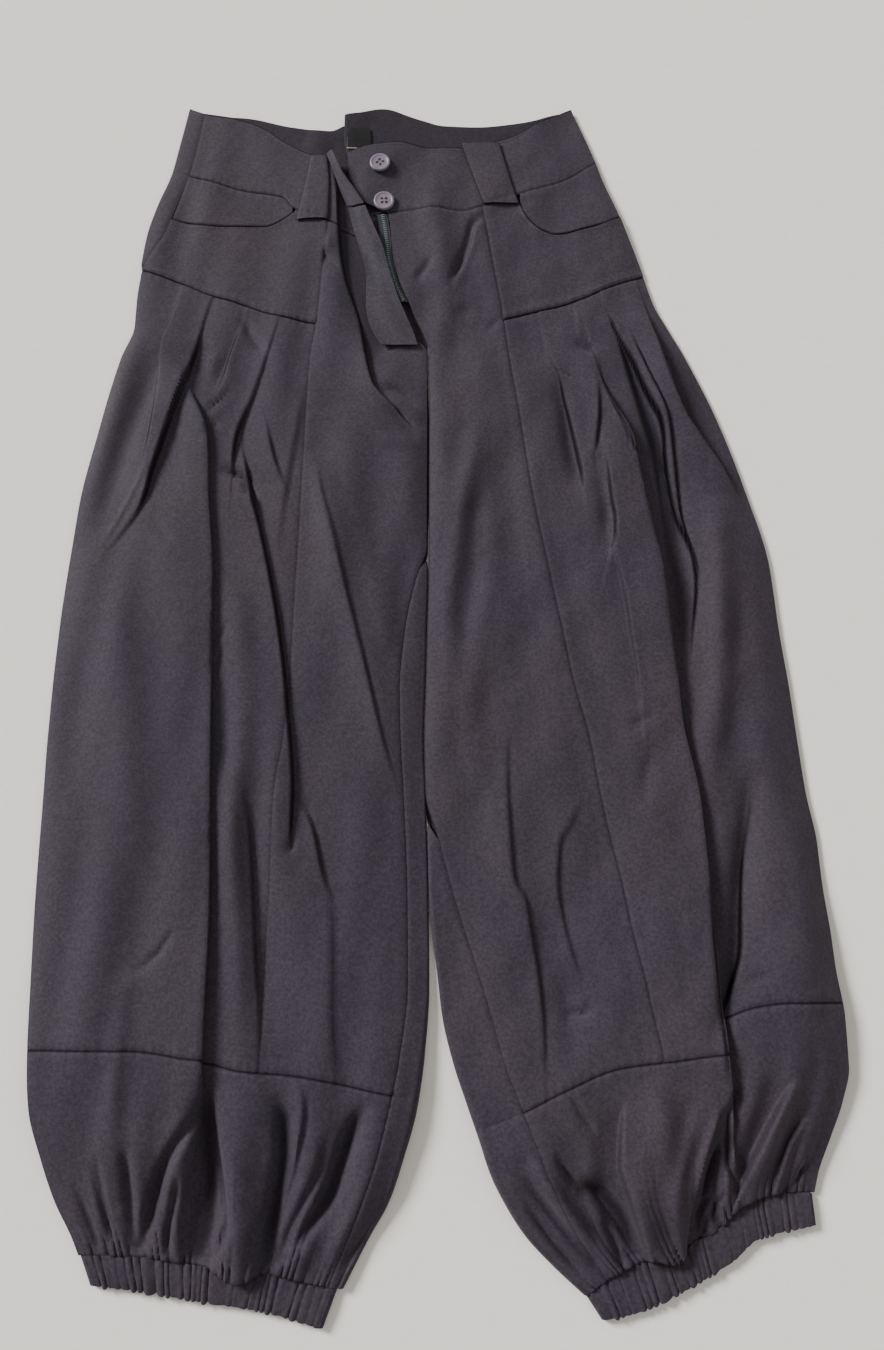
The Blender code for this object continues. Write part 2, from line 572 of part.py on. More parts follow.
def right_fly_end(y):
    """Right front's edge: beside the open fly, then the centre front, then the inseam."""
    return np.minimum(smooth(RIGHT_FLY_EDGE, y), RIGHT.line("inseam", y)) - GAP


def left_fly_end(y):
    """Left front's edge: beside the zip, then the centre front, then the inseam."""
    return np.where(y > 247, smooth(LEFT_FLY_EDGE, y), LEFT.line("inseam", y)) + GAP


def leg_rows(half, above=()):
    """Rows that the panels of a leg share, with more of them above for the centre panel."""
    levels = tuple(above) + half.levels
    return at_levels(levels, half.levels[0] if above else half.levels[4], BAND_FADE)


def front_centres():
    """Long centre panels from the waistband to the hem band seam."""
    fly = fold_stops(RIGHT, "fly_fold", STEP_BLOCK)
    front_panel("front_centre_right", RIGHT, [edge(RIGHT, "princess", GAP)] + fly + [right_fly_end],
                [1, 1, 1, 1, 1, 4], across(RIGHT, "waist", -GAP), across(RIGHT, "band", BAND_GAP),
                leg_rows(RIGHT, (366, 340, 312, 288)))
    front_panel("front_centre_left", LEFT, [left_fly_end, edge(LEFT, "princess", -GAP)],
                [9], across(LEFT, "waist", -GAP), across(LEFT, "band", BAND_GAP),
                leg_rows(LEFT, (384, 360, 325, 295)))


def front_sides():
    """Side panels, pleated into the yoke seam, with the leg's main overlap."""
    front_panel("front_side_right", RIGHT,
                [edge(RIGHT, "side", GAP)] + fold_stops(RIGHT, "main_overlap", FOLD_BLOCK)
                + [edge(RIGHT, "princess", -GAP)],
                [6] + [1] * 12 + [7], across(RIGHT, "yoke", -GAP), across(RIGHT, "band", BAND_GAP),
                leg_rows(RIGHT))
    front_panel("front_side_left", LEFT,
                [edge(LEFT, "princess", GAP)] + fold_stops(LEFT, "main_overlap", FOLD_BLOCK)
                + [edge(LEFT, "outer")],
                [6] + [1] * 12 + [7], across(LEFT, "yoke", -GAP), across(LEFT, "band", BAND_GAP),
                leg_rows(LEFT))


def hem_band_fronts():
    """Front hem bands, gathered into the cuffs."""
    front_panel("hem_band_front_right", RIGHT,
                [edge(RIGHT, "outer")] + fold_stops(RIGHT, "main_overlap", FOLD_BLOCK)
                + [edge(RIGHT, "princess")] + fold_stops(RIGHT, "fly_fold", STEP_BLOCK)
                + [edge(RIGHT, "inseam", -GAP)],
                [6] + [1] * 12 + [7, 1, 1, 1, 1, 1, 4], across(RIGHT, "band", -BAND_GAP),
                across(RIGHT, "cuff", GAP), even(6))
    front_panel("hem_band_front_left", LEFT,
                [edge(LEFT, "inseam", GAP), edge(LEFT, "princess")]
                + fold_stops(LEFT, "main_overlap", FOLD_BLOCK) + [edge(LEFT, "outer")],
                [9, 6] + [1] * 12 + [7], across(LEFT, "band", -BAND_GAP), across(LEFT, "cuff", GAP), even(6))


def curl(half, column, seam_column, side, whole_and_end, y_at, turn_steps, strip_steps):
    """Curled edge of a back panel: its turn's columns, then the strip that lies on the front as far
    as the seam. Where the curl has ended, the same columns lie flat on the floor. y_at gives the
    rows' y at x. side is -1 where the leg lies towards -X of this edge."""
    whole, end = whole_and_end
    outline = half.line(column, y_at(np.zeros((1, 1)))[:, 0])
    for _ in range(12):
        y = y_at(outline[:, None])[:, 0]
        outline = half.line(column, y)
    share = ease(end, whole, y)[:, None]
    rim = outline
    for _ in range(6):
        radius = (front(half, rim, y)[:, 2] - FLOOR_MID) / 2
        rim = outline + side * radius
    angle = np.linspace(0.0, math.pi, turn_steps + 1)[None, :]
    turn_x = rim[:, None] - side * radius[:, None] * np.sin(angle)
    turn_z = FLOOR_MID + radius[:, None] * (1 - np.cos(angle))
    turn = np.stack([turn_x, np.repeat(y[:, None], turn_steps + 1, axis=1), turn_z], axis=-1)
    part = np.linspace(0.0, 1.0, strip_steps + 1)[None, 1:]
    strip_y = np.repeat(y[:, None], strip_steps, axis=1)
    for _ in range(12):
        seam_x = half.line(seam_column, strip_y[:, -1]) - side * GAP
        reach = np.where(side * (seam_x - rim) > 0.4, seam_x, rim + side * 0.4)
        strip_x = rim[:, None] + part * (reach - rim)[:, None]
        strip_y = y_at(strip_x)
    on_front = front(half, strip_x, strip_y)
    on_front[..., 0] = strip_x
    curled = np.concatenate([turn, on_front], axis=1)
    lie = np.linspace(3.0, GAP, turn_steps + strip_steps + 1)[None, :]
    flat = np.stack([outline[:, None] + side * lie, curled[..., 1], np.full_like(curled[..., 1], FLOOR_MID)],
                    axis=-1)
    points = share[..., None] * curled + (1 - share[..., None]) * flat
    seam_normal = normals_of(lambda a, b: front(half, a, b), strip_x[:, -1:], strip_y[:, -1:])
    return points, seam_normal, share


def match_edge(normal, place, wanted, share):
    """Give a column of normals the front's own normals where the curl is whole, so that the two
    rims at a seam stay side by side."""
    sign = np.sign((normal[:, place] * wanted[:, 0]).sum(axis=-1, keepdims=True))
    normal[:, place] = np.where(share > 0.99, wanted[:, 0] * sign, normal[:, place])


def back_panel(name, half, inner, outer, floor_steps):
    """Back panel from its outer columns, over the floor, to its inner columns. Each end is the points,
    the normals at its seam and how whole its curl is."""
    part = np.linspace(0.0, 1.0, floor_steps + 1)[None, 1:-1, None]
    floor = outer[0][:, :1] + part * (inner[0][:, :1] - outer[0][:, :1])
    middle = np.concatenate([outer[0][:, ::-1], floor, inner[0]], axis=1)
    normal = grid_normals(middle)
    match_edge(normal, -1, inner[1], inner[2])
    if outer[1] is not None:
        match_edge(normal, 0, outer[1], outer[2])
    wall(name, middle, normal, CLOTH_COLOUR)


def flat_end(half, y_at):
    """Outer end of a back panel that stays on the floor."""
    outline = half.line("outer", y_at(np.zeros((1, 1)))[:, 0])
    for _ in range(12):
        y = y_at(outline[:, None])[:, 0]
        outline = half.line("outer", y)
    return np.stack([outline, y, np.full_like(y, FLOOR_MID)], axis=-1)[:, None, :], None, None


def back_legs():
    """Backs of the legs: flat on the floor, curled round the inner edge to the inseam, and on the
    right side round the hip to the side seam."""
    right_inner = (413, 395, 378, 355, 335, 315, 300, 285, 240, 165, 90) + RIGHT_LEVELS[6:]
    right_outer = (421, 390, 371, 355, 341, 331, 325, 318, 280, 200, 120, 90, 65, 5, -45, -90, -140, -190,
                   -232, -272, -312)
    left_inner = (413, 340, 240, 165, 75, -20, -105) + LEFT_LEVELS[10:]
    left_outer = (430, 350, 263, 190, 110, 10, -75, -115, -140, -170, -205, -240, -280)
    for half, inner_y, outer_y, inner_curl in ((RIGHT, right_inner, right_outer, RIGHT_INNER_CURL),
                                               (LEFT, left_inner, left_outer, LEFT_INNER_CURL)):
        inner_rows = at_levels(inner_y, inner_y[0] - 1.0, BAND_FADE)

        def waist(x):
            return back_waist(x) - GAP

        def inner_at(x, half=half, rows=inner_rows):
            return row_y(rows, waist, across(half, "band", BAND_GAP), x)
        inner = curl(half, "inner", "inseam", -half.inward, inner_curl, inner_at, 4, 2)
        if half is RIGHT:
            outer_rows = at_levels(outer_y, 371, outer_y[-1] + 1.0)

            def outer_at(x, rows=outer_rows):
                return row_y(rows, across(RIGHT, "waist", -GAP), lambda x: outer_y[-1] + GAP + 0 * x, x)
            outer = curl(half, "outer", "side", 1, RIGHT_OUTER_CURL, outer_at, 3, 2)
        else:
            outer_rows = at_levels(outer_y, outer_y[0] - 1.0, outer_y[-1] + 1.0)
            outer = flat_end(half, lambda x, rows=outer_rows: row_y(
                rows, waist, lambda x: outer_y[-1] + GAP + 0 * x, x))
        back_panel("back_" + half.name, half, inner, outer, 3)


def hem_band_backs():
    """Back hem bands: flat on the floor and curled round the inner edge to the inseam."""
    for half in (RIGHT, LEFT):
        def rows_at(x, half=half):
            return row_y(even(6), across(half, "band", -BAND_GAP), across(half, "cuff", GAP + 0.1), x)
        inner = curl(half, "inner", "inseam", -half.inward, (-340, -330), rows_at, 4, 2)
        back_panel("hem_band_back_" + half.name, half, inner, flat_end(half, rows_at), 3)


def cuffs():
    """Cuffs: flat tubes whose front is gathered and whose back lies on the floor."""
    for half in (RIGHT, LEFT):
        top_ends = (half.seams["cuff"][0][0], half.seams["cuff"][-1][0])
        bottom_ends = (half.seams["hem"][0][0], half.seams["hem"][-1][0])
        radius = (CUFF_LEVEL - FLOOR_MID) / 2
        if half is RIGHT:
            back_x = (half.line("outer", half.seams["cuff"][0][1]), top_ends[1] - radius)
        else:
            back_x = (top_ends[0] + radius, half.line("outer", half.seams["cuff"][-1][1]))
        place = np.linspace(0.0, 1.0, CUFF_GATHERS * 3 + 1)
        wave = CUFF_WAVE * np.sin(math.pi * place) ** 0.3 * np.cos(2 * math.pi * CUFF_GATHERS * place)
        turn = np.linspace(0.0, math.pi, 5)[1:-1]
        under = np.linspace(1.0, 0.0, 5)
        along = np.concatenate([place, 1 + 0 * turn, under, 0 * turn])
        bulge = np.concatenate([0 * place, radius * np.sin(turn), 0 * under, -radius * np.sin(turn)])
        height = np.concatenate([CUFF_LEVEL + wave, FLOOR_MID + radius * (1 + np.cos(turn)),
                                 FLOOR_MID + 0 * under, FLOOR_MID + radius * (1 - np.cos(turn))])
        on_front = np.arange(len(along)) < len(place)
        on_front[0 if half is LEFT else len(place) - 1] = False
        rings = []
        for v in (0.0, 0.5, 1.0):
            x_top = top_ends[0] + radius + along * (top_ends[1] - top_ends[0] - 2 * radius)
            x_low = bottom_ends[0] + radius + along * (bottom_ends[1] - bottom_ends[0] - 2 * radius)
            y_back = np.interp(x_top + bulge, back_x, [half.seams["cuff"][0][1], half.seams["cuff"][-1][1]])
            y_top = np.where(on_front, half.seam("cuff", x_top), y_back) - GAP
            y_low = half.seam("hem", x_low)
            swell = CUFF_SWELL * math.sin(math.pi * v) * (height > CUFF_LEVEL - 1.2)
            rings.append(np.stack([x_top + v * (x_low - x_top) + bulge, y_top + v * (y_low - y_top),
                                   height + swell], axis=-1))
        middle = np.stack(rings)
        looped = np.concatenate([middle[:, -1:], middle, middle[:, :1]], axis=1)
        normal = grid_normals(looped)[:, 1:-1]
        wall("cuff_" + half.name, middle, normal, CLOTH_COLOUR, closed=True)


def waistband_back():
    """Back waistband on the floor, inside face up, with its right part tucked under its left, and
    curled at the right side as far as the side seam."""
    width = BACK_OVERLAP[2]
    block = [-74 + k * width for k in FOLD_BLOCK]
    stops = [-180.0, -140.0, -105.0] + block + [-50.0, -27.0, -4.5, 35.0, 70.0, 100.0, 123.0]
    tops = RIGHT_SEAMS["back_top"] + LEFT_SEAMS["back_top"]
    shares = (0.0, 0.22, 0.42, 0.6, 0.8, 1.0)
    outer_end = LEFT.line("outer", 430.0) - 123.0

    def surface(x, y):
        shift, lift = fold(BACK_OVERLAP, x, y)
        return np.stack([x + shift, y + 0 * x, FLOOR_MID + lift], axis=-1)

    def edge_at(x):
        return row_y(at_shares(*shares), across(RIGHT, "top"), across(RIGHT, "waist", GAP), x)
    curled, seam_normal, share = curl(RIGHT, "outer", "side", 1, (400, 390), edge_at, 3, 2)
    down = np.array(shares)[:, None]
    x = np.array(stops)[None, :] + down * outer_end * np.clip((np.array(stops) - 35.0) / 88.0, 0, 1)[None, :]
    y = smooth(tops, x) + down * (back_waist(x) + GAP - smooth(tops, x))
    middle = np.concatenate([curled[:, ::-1], surface(x, y)], axis=1)
    normal = grid_normals(middle)
    on_plan = normals_of(surface, x, y)
    flip = np.sign((normal[:, -1:] * on_plan[:, -1:]).sum(axis=-1, keepdims=True))
    normal[:, -x.shape[1] + 1:] = (on_plan * flip)[:, 1:]
    match_edge(normal, 0, seam_normal, share)
    wall("waistband_back", middle, normal, CLOTH_COLOUR)


def strip(name, rows, point, columns, colour, thickness=CLOTH, steps=3):
    """Wall over rows of y, left and right, each span cut in steps, with point giving its middle."""
    places = np.linspace(0, len(rows) - 1, (len(rows) - 1) * steps + 1)
    numbered = [(i, *row) for i, row in enumerate(rows)]
    y = smooth(numbered, places, 1)[:, None]
    left = smooth(numbered, places, 2)[:, None]
    right = smooth(numbered, places, 3)[:, None]
    part = np.linspace(0.0, 1.0, columns + 1)[None, :]
    x = left + part * (right - left)
    y = y + 0 * x
    middle = point(x, y, part + 0 * x)
    return wall(name, middle, grid_normals(middle), colour, thickness=thickness)


def belt_loops():
    """Belt loops, flat strips on the waistband."""
    for half, rows in ((RIGHT, RIGHT_LOOP), (LEFT, LEFT_LOOP)):
        def on_band(x, y, part, half=half):
            points = front(half, x, y)
            points[..., 2] += LOOP_LIFT
            return points
        strip("belt_loop_" + half.name, rows, on_band, 5, CLOTH_COLOUR)


def fly():
    """Turned-up end of the waistband and the fly flap below it, which leans over the zip."""
    for name, rows in (("waistband_end_right", WAIST_END), ("fly_flap", FLY_FLAP)):
        def leaning(x, y, part, rows=rows):
            low = smooth(rows, y, 3)
            high = smooth(rows, y, 4)
            on_front = front(RIGHT, x, y)[..., 2] + LIE + 0.2
            return np.stack([x, y, np.maximum(on_front, low + (high - low) * ease(0.0, 1.0, part))], axis=-1)
        strip(name, rows, leaning, 4, FACING_COLOUR, steps=2)


def zip_pieces():
    """Zip tape beside the left front and the row of teeth on it."""
    def on_level(x, y, part):
        return np.stack([x, y, ZIP_LEVEL + 0 * x], axis=-1)
    strip("zip_tape", ZIP_TAPE, on_level, 2, ZIP_COLOUR, thickness=ZIP_TAPE_THICKNESS, steps=2)
    teeth = [(y, right - ZIP_TEETH_INSET, right - ZIP_TEETH_INSET + ZIP_TEETH_WIDTH)
             for y, left, right in ZIP_TAPE]
    teeth_level = ZIP_LEVEL + ZIP_TAPE_THICKNESS / 2 + SEAM + ZIP_TEETH_HEIGHT / 2

    def on_tape(x, y, part):
        return np.stack([x, y, teeth_level + 0 * x], axis=-1)
    strip("zip_teeth", teeth, on_tape, 1, ZIP_COLOUR, thickness=ZIP_TEETH_HEIGHT, steps=2)


def buttons():
    """Two turned four-hole buttons with a raised rim, on the button stand."""
    radius = BUTTON_DIAMETER / 2
    for number, (cx, cy) in enumerate(BUTTON_CENTRES, start=1):
        spread = np.linspace(-radius, radius, 9)
        seat_x, seat_y = np.meshgrid(cx + spread, cy + spread)
        seat = front(LEFT, seat_x, seat_y)[..., 2].max() + CLOTH / 2 + SEAM
        mesh = bpy.data.meshes.new("button_%d" % number)
        points = [(r * radius * MM, 0.0, z * MM) for r, z in BUTTON_PROFILE]
        mesh.from_pydata(points, [(i, i + 1) for i in range(len(points) - 1)], [])
        turned = bpy.data.objects.new("button_%d" % number, mesh)
        PARTS.objects.link(turned)
        turned.location = (cx * MM, cy * MM, seat * MM)
        screw = turned.modifiers.new("turn", "SCREW")
        screw.steps = 18
        screw.render_steps = 18
        screw.use_merge_vertices = True
        screw.merge_threshold = 0.00001
        mesh.materials.append(material("button_%d" % number, BUTTON_COLOUR, 0.35))
        for hole in range(4):
            angle = math.radians(45 + 90 * hole)
            bpy.ops.mesh.primitive_cylinder_add(
                vertices=8, radius=BUTTON_HOLE / 2 * MM, depth=0.02,
                location=((cx + BUTTON_HOLE_RING * math.cos(angle)) * MM,
                          (cy + BUTTON_HOLE_RING * math.sin(angle)) * MM, seat * MM))
            cutter = bpy.context.object
            cutter.name = "button_%d_hole_%d" % (number, hole + 1)
            cutter.hide_render = True
            cutter.display_type = "WIRE"
            for home in list(cutter.users_collection):
                home.objects.unlink(cutter)
            CUTTERS.objects.link(cutter)
            cut = turned.modifiers.new("hole", "BOOLEAN")
            cut.operation = "DIFFERENCE"
            cut.object = cutter


def label():
    """Blank label inside the back waistband, beside its overlap."""
    def on_band(x, y, part):
        height = smooth(BACK_OVERLAP[4], y, FOLD_COLUMNS.index("height"))
        settled = np.exp(-np.maximum(x - LABEL_START, 0.0) / BACK_OVERLAP[3])
        return np.stack([x, y, FLOOR_MID + height * settled + LIE + 0.1], axis=-1)
    strip("label", LABEL_ROWS, on_band, 3, LABEL_COLOUR, thickness=LABEL_THICKNESS, steps=2)


for old in list(bpy.data.objects):
    bpy.data.objects.remove(old, do_unlink=True)
PARTS = bpy.data.collections.new("balloon_trousers")
CUTTERS = bpy.data.collections.new("cutters")
bpy.context.scene.collection.children.link(PARTS)
bpy.context.scene.collection.children.link(CUTTERS)

waistbands()
waistband_back()
belt_loops()
pockets_and_yokes()
front_centres()
front_sides()
back_legs()
hem_band_fronts()
hem_band_backs()
cuffs()
fly()
zip_pieces()
buttons()
label()
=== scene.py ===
"""Balloon trousers laid flat with the fly open: cloth, sewing, buttons and zip round the frame.

The row's X runs to the wearer's left, Y towards the waist and Z up, with the floor at z = 0.
Tables are in millimetres, or in the photo's pixels where their comment says so. Right and left are
the wearer's, so the right leg lies at -X. Each panel is a thin shell round a middle surface: a plan
grid between its seams, lifted by front(), which adds up the leg's folds, gathers and creases.
"""
import math

import bmesh
import bpy
import numpy as np
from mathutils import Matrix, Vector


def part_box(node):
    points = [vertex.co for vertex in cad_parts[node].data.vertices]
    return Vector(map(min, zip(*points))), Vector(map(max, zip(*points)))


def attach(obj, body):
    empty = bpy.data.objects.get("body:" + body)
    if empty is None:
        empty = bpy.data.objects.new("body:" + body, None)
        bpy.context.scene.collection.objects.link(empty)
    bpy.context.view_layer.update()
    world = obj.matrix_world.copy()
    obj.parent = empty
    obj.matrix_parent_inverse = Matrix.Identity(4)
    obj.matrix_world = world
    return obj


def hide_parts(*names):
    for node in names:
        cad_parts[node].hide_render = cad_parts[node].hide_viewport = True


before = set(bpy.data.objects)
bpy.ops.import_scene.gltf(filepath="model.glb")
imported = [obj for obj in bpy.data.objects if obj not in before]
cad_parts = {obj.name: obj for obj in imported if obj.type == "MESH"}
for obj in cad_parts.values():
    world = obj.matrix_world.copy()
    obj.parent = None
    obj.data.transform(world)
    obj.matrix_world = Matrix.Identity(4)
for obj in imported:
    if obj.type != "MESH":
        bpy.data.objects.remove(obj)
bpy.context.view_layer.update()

MM = 0.001

# The shell's wall, the opening at a seam and half of it, and the middle surface's height: of cloth on
# the floor, of one layer over another, and of the front between its edges
CLOTH = 0.8
SEAM = 0.04
GAP = SEAM / 2
FLOOR_MID = CLOTH / 2 + 0.02
LIE = CLOTH + 0.25
FRONT_LEVEL = 5.2
SIDE_ROUND = 9.0

# Pocket openings: how far a facing lies below the yoke, the opening's width at its middle, the height
# above it that carries painted shade, how far a facing slips under the yoke, and x of the opening's ends
POCKET_DROP = 0.6
POCKET_GAPE = 4.0
POCKET_SHADE = 4.2
POCKET_TUCK = 3.0
POCKET_CORNER = {"right": -121.0, "left": 74.0}
POCKET_MOUTH = {"right": (-228.0, POCKET_CORNER["right"]), "left": (POCKET_CORNER["left"], 162.0)}

STAND_FOLD_X = -39.8
BUTTON_DIAMETER = 18.0
BUTTON_COLUMNS = 64
BUTTON_HOLE = 1.9
BUTTON_HOLE_DEPTH = 1.5
BUTTON_HOLE_RING = 2.6
CUFF_GATHERS = 30
CUFF_LEVEL = 4.6
ZIP_LEVEL = 4.4
ZIP_TAPE_THICKNESS = 1.0
ZIP_TEETH_INSET = 3.5
COLUMN_STEP = 1.25
ROW_STEP = 3.0
MATCH_ROUNDS = 12
NARROWEST = 0.4

# The photograph's frame: pixels, lens and where the camera stands over the row's plane
PHOTO_WIDTH = 884
PHOTO_HEIGHT = 1350
PHOTO_LENS_PIXELS = 1080.0
CAMERA_TILT = math.radians(15.0)
CAMERA_PLACE = (7.4, -253.6, 808.0)
CLOTH_TOP = 6.0

# Column stops beside a fold, in half widths: close together where the cloth doubles back
FOLD_BLOCK = tuple(0.25 * step for step in range(-12, 13))
STEP_BLOCK = (-2.2, -1.1, 0.0, 1.1, 2.2)
BAND_STEPS = (-0.6, 0.3, 1.2, 2.0)

# Sections of each leg from the waist down, and the columns that a row holds
SECTION_COLUMNS = ("y", "outer", "side", "princess", "inseam", "inner")
RIGHT_SECTIONS = (
    (487, -219, -204, -104, -5, -5),
    (450, -225, -209, -100, -5, -5),
    (420, -230, -214, -94, -5, -5),
    (385, -241, -224, -91, -5, -5),
    (355, -248, -233, -92, -5, -5),
    (322, -251, -249, -95, -5, -5),
    (290, -252, -252, -97, -5, -5),
    (267, -252, -252, -99, -5, -5),
    (237, -261, -261, -103, -5, -5),
    (204, -268, -268, -104, -4, -4),
    (165, -275, -275, -105, -3, -3),
    (110, -284, -284, -106, -3, -3),
    (70, -287, -287, -107, -4, -4),
    (40, -289, -289, -108, -13, -4),
    (0, -291, -291, -109, -21, -5),
    (-50, -292, -292, -110, -25, -6),
    (-85, -292, -292, -112, -24, -7),
    (-135, -291, -291, -118, -21, -5),
    (-200, -290, -290, -119, -18, -3),
    (-270, -286, -286, -120, -17, -2),
    (-315, -283, -283, -120, -22, -5),
    (-350, -279, -279, -120, -29, -10),
    (-385, -267, -267, -120, -38, -20),
    (-410, -256, -256, -120, -47, -29),
    (-432, -243, -243, -120, -56, -42),
    (-465, -228, -228, -120, -70, -60),
)
LEFT_SECTIONS = (
    (487, 123, 123, 30, -4, -4),
    (430, 143, 143, 34, -4, -4),
    (409, 149, 149, 38, -4, -4),
    (373, 162, 162, 44, -4, -4),
    (325, 177, 177, 51, -4, -4),
    (287, 187, 187, 57, -4, -4),
    (263, 198, 198, 60, -4, -4),
    (236, 211, 211, 63, -4, -4),
    (181, 233, 233, 71, -3, -3),
    (113, 253, 253, 80, -3, -3),
    (50, 267, 267, 91, -3, -3),
    (0, 270, 270, 100, -4, -4),
    (-45, 274, 274, 108, -5, -5),
    (-90, 277, 277, 119, -6, -6),
    (-130, 280, 280, 125, -5, -5),
    (-166, 285, 285, 132, 5, -3),
    (-200, 286, 286, 139, 14, -2),
    (-229, 288, 288, 144, 23, 0),
    (-257, 289, 289, 150, 32, 4),
    (-290, 292, 292, 156, 42, 8),
    (-322, 292, 292, 161, 51, 16),
    (-345, 286, 286, 161, 60, 24),
    (-370, 275, 275, 161, 70, 33),
    (-393, 265, 265, 161, 79, 41),
    (-412, 261, 261, 161, 88, 51),
    (-431, 261, 261, 161, 99, 64),
    (-450, 261, 261, 161, 112, 83),
    (-468, 261, 261, 161, 124, 104),
)

# Seams that run across each half, as rows of x and y
RIGHT_SEAMS = {
    "top": ((-219, 487), (-203, 480), (-171, 473), (-150, 464), (-134, 452), (-107, 437), (-88, 431)),
    "waist": ((-230, 421), (-208, 413), (-168, 401), (-132, 393), (-121, 381), (-89, 366), (-60, 352)),
    "pocket": ((-230, 371), (-190, 366), (-146, 366), (-131, 371), (-119, 378)),
    "yoke": ((-250, 321), (-218, 309), (-190, 296), (-161, 286), (-134, 276), (-98, 268)),
    "band": ((-284, -312), (-214, -312), (-160, -319), (-135, -325), (-93, -329), (-40, -339), (-9, -345)),
    "cuff": ((-236, -443), (-205, -443), (-176, -446), (-158, -449), (-149, -450.5), (-142, -454),
             (-133, -458.5), (-126, -459), (-117, -455), (-110, -454), (-97, -456), (-85, -459), (-63, -463)),
    "hem": ((-228, -461), (-199, -464), (-159, -470), (-110, -477), (-72, -487.2)),
    "back_top": ((-219, 487), (-203, 482), (-169, 480), (-126, 470), (-92, 466)),
}
LEFT_SEAMS = {
    "top": ((-76, 440), (-54, 446), (-31, 448.5), (-7, 445), (25, 445), (68, 456), (102, 475), (123, 487)),
    "waist": ((-56, 373), (-32, 379), (-7, 381), (26, 380), (44, 385), (78, 398), (111, 409), (143, 430)),
    "pocket": ((73, 393), (76, 383), (82, 372), (94, 362), (105, 359), (134, 364), (164, 373)),
    "yoke": ((59, 271), (84, 279), (107, 285), (131, 294), (155, 305), (180, 315)),
    "band": ((31, -365), (60, -354), (94, -338), (130, -324), (181, -317), (199, -313), (210, -290),
             (233, -282), (253, -280), (291, -280)),
    "cuff": ((104, -467), (115, -459), (124, -454), (140, -447), (150, -445), (161, -447.5), (168, -446),
             (173, -439), (178, -434), (187, -431.5), (197, -425), (206, -416), (214, -411), (228, -406),
             (244, -403.5), (260, -404)),
    "hem": ((114, -482), (135, -478), (172, -463), (205, -445), (221, -433), (261, -424)),
    "back_top": ((-78, 473), (-67, 481), (-45, 487), (-12, 477), (9, 471), (38, 470), (74, 474), (123, 487)),
}

# The back's waist seam, two straight runs
BACK_WAIST = ((-230, 421), (-4.5, 413), (143, 430))

# Folds: the side that lies on top (1 is -X, -1 is +X, 0 a soft ridge or trough), the fold's half
# width, how far its high side takes to settle, and rows of y, x, height and overlap
FOLD_COLUMNS = ("y", "x", "height", "overlap")
RIGHT_FOLDS = (
    ("main_overlap", 1, 4.0, 34.0, (
        (225, -209, 0, 0), (200, -198, 3.5, 2), (182, -192, 4.8, 6), (162, -187, 4.8, 7.5), (115, -184, 4.6, 8),
        (45, -177, 4.4, 8), (-21, -174, 4.4, 8), (-124, -169, 5, 8), (-242, -164, 5.5, 8), (-319, -163, 6, 8),
        (-355, -160, 5, 5), (-385, -164, 3, 2), (-425, -172, 0, 0))),
    ("long_fold", 1, 3.0, 26.0, (
        (135, -151, 0, 0), (115, -147, 3, 0), (84, -138, 4, 0), (8, -121, 4, 0), (-57, -111, 4, 0),
        (-134, -104, 4, 0), (-175, -104, 0, 0))),
    ("fly_fold", 1, 3.0, 24.0, (
        (440, -93, 2, 0), (400, -84, 5, 0), (367, -82, 6, 0), (342, -80, 6, 0), (312, -75, 6, 0),
        (275, -63, 6, 0), (211, -50, 5, 0), (184, -28, 3, 0), (165, -15, 0, 0), (140, -24, 0, 0),
        (60, -60, 0, 0))),
    ("centre_ridge", 0, 9.0, 0.0, (
        (150, -97, 0, 0), (117, -89, 3, 0), (34, -69, 3.5, 0), (-43, -48, 3, 0), (-98, -34, 2, 0),
        (-134, -24, 0, 0))),
    ("knee_ridge", 0, 7.0, 0.0, (
        (-100, -155, 0, 0), (-145, -150, 3.5, 0), (-244, -138, 3.5, 0), (-300, -134, 1, 0),
        (-330, -132, 0, 0))),
    ("knee_trough", 0, 8.0, 0.0, (
        (-110, -135, 0, 0), (-160, -133, -2, 0), (-251, -120, -2, 0), (-316, -118, -1, 0),
        (-335, -118, 0, 0))),
    ("outer_swell", 0, 26.0, 0.0, (
        (120, -240, 0, 0), (0, -245, 3, 0), (-150, -240, 4, 0), (-300, -236, 2, 0), (-340, -232, 0, 0))),
)
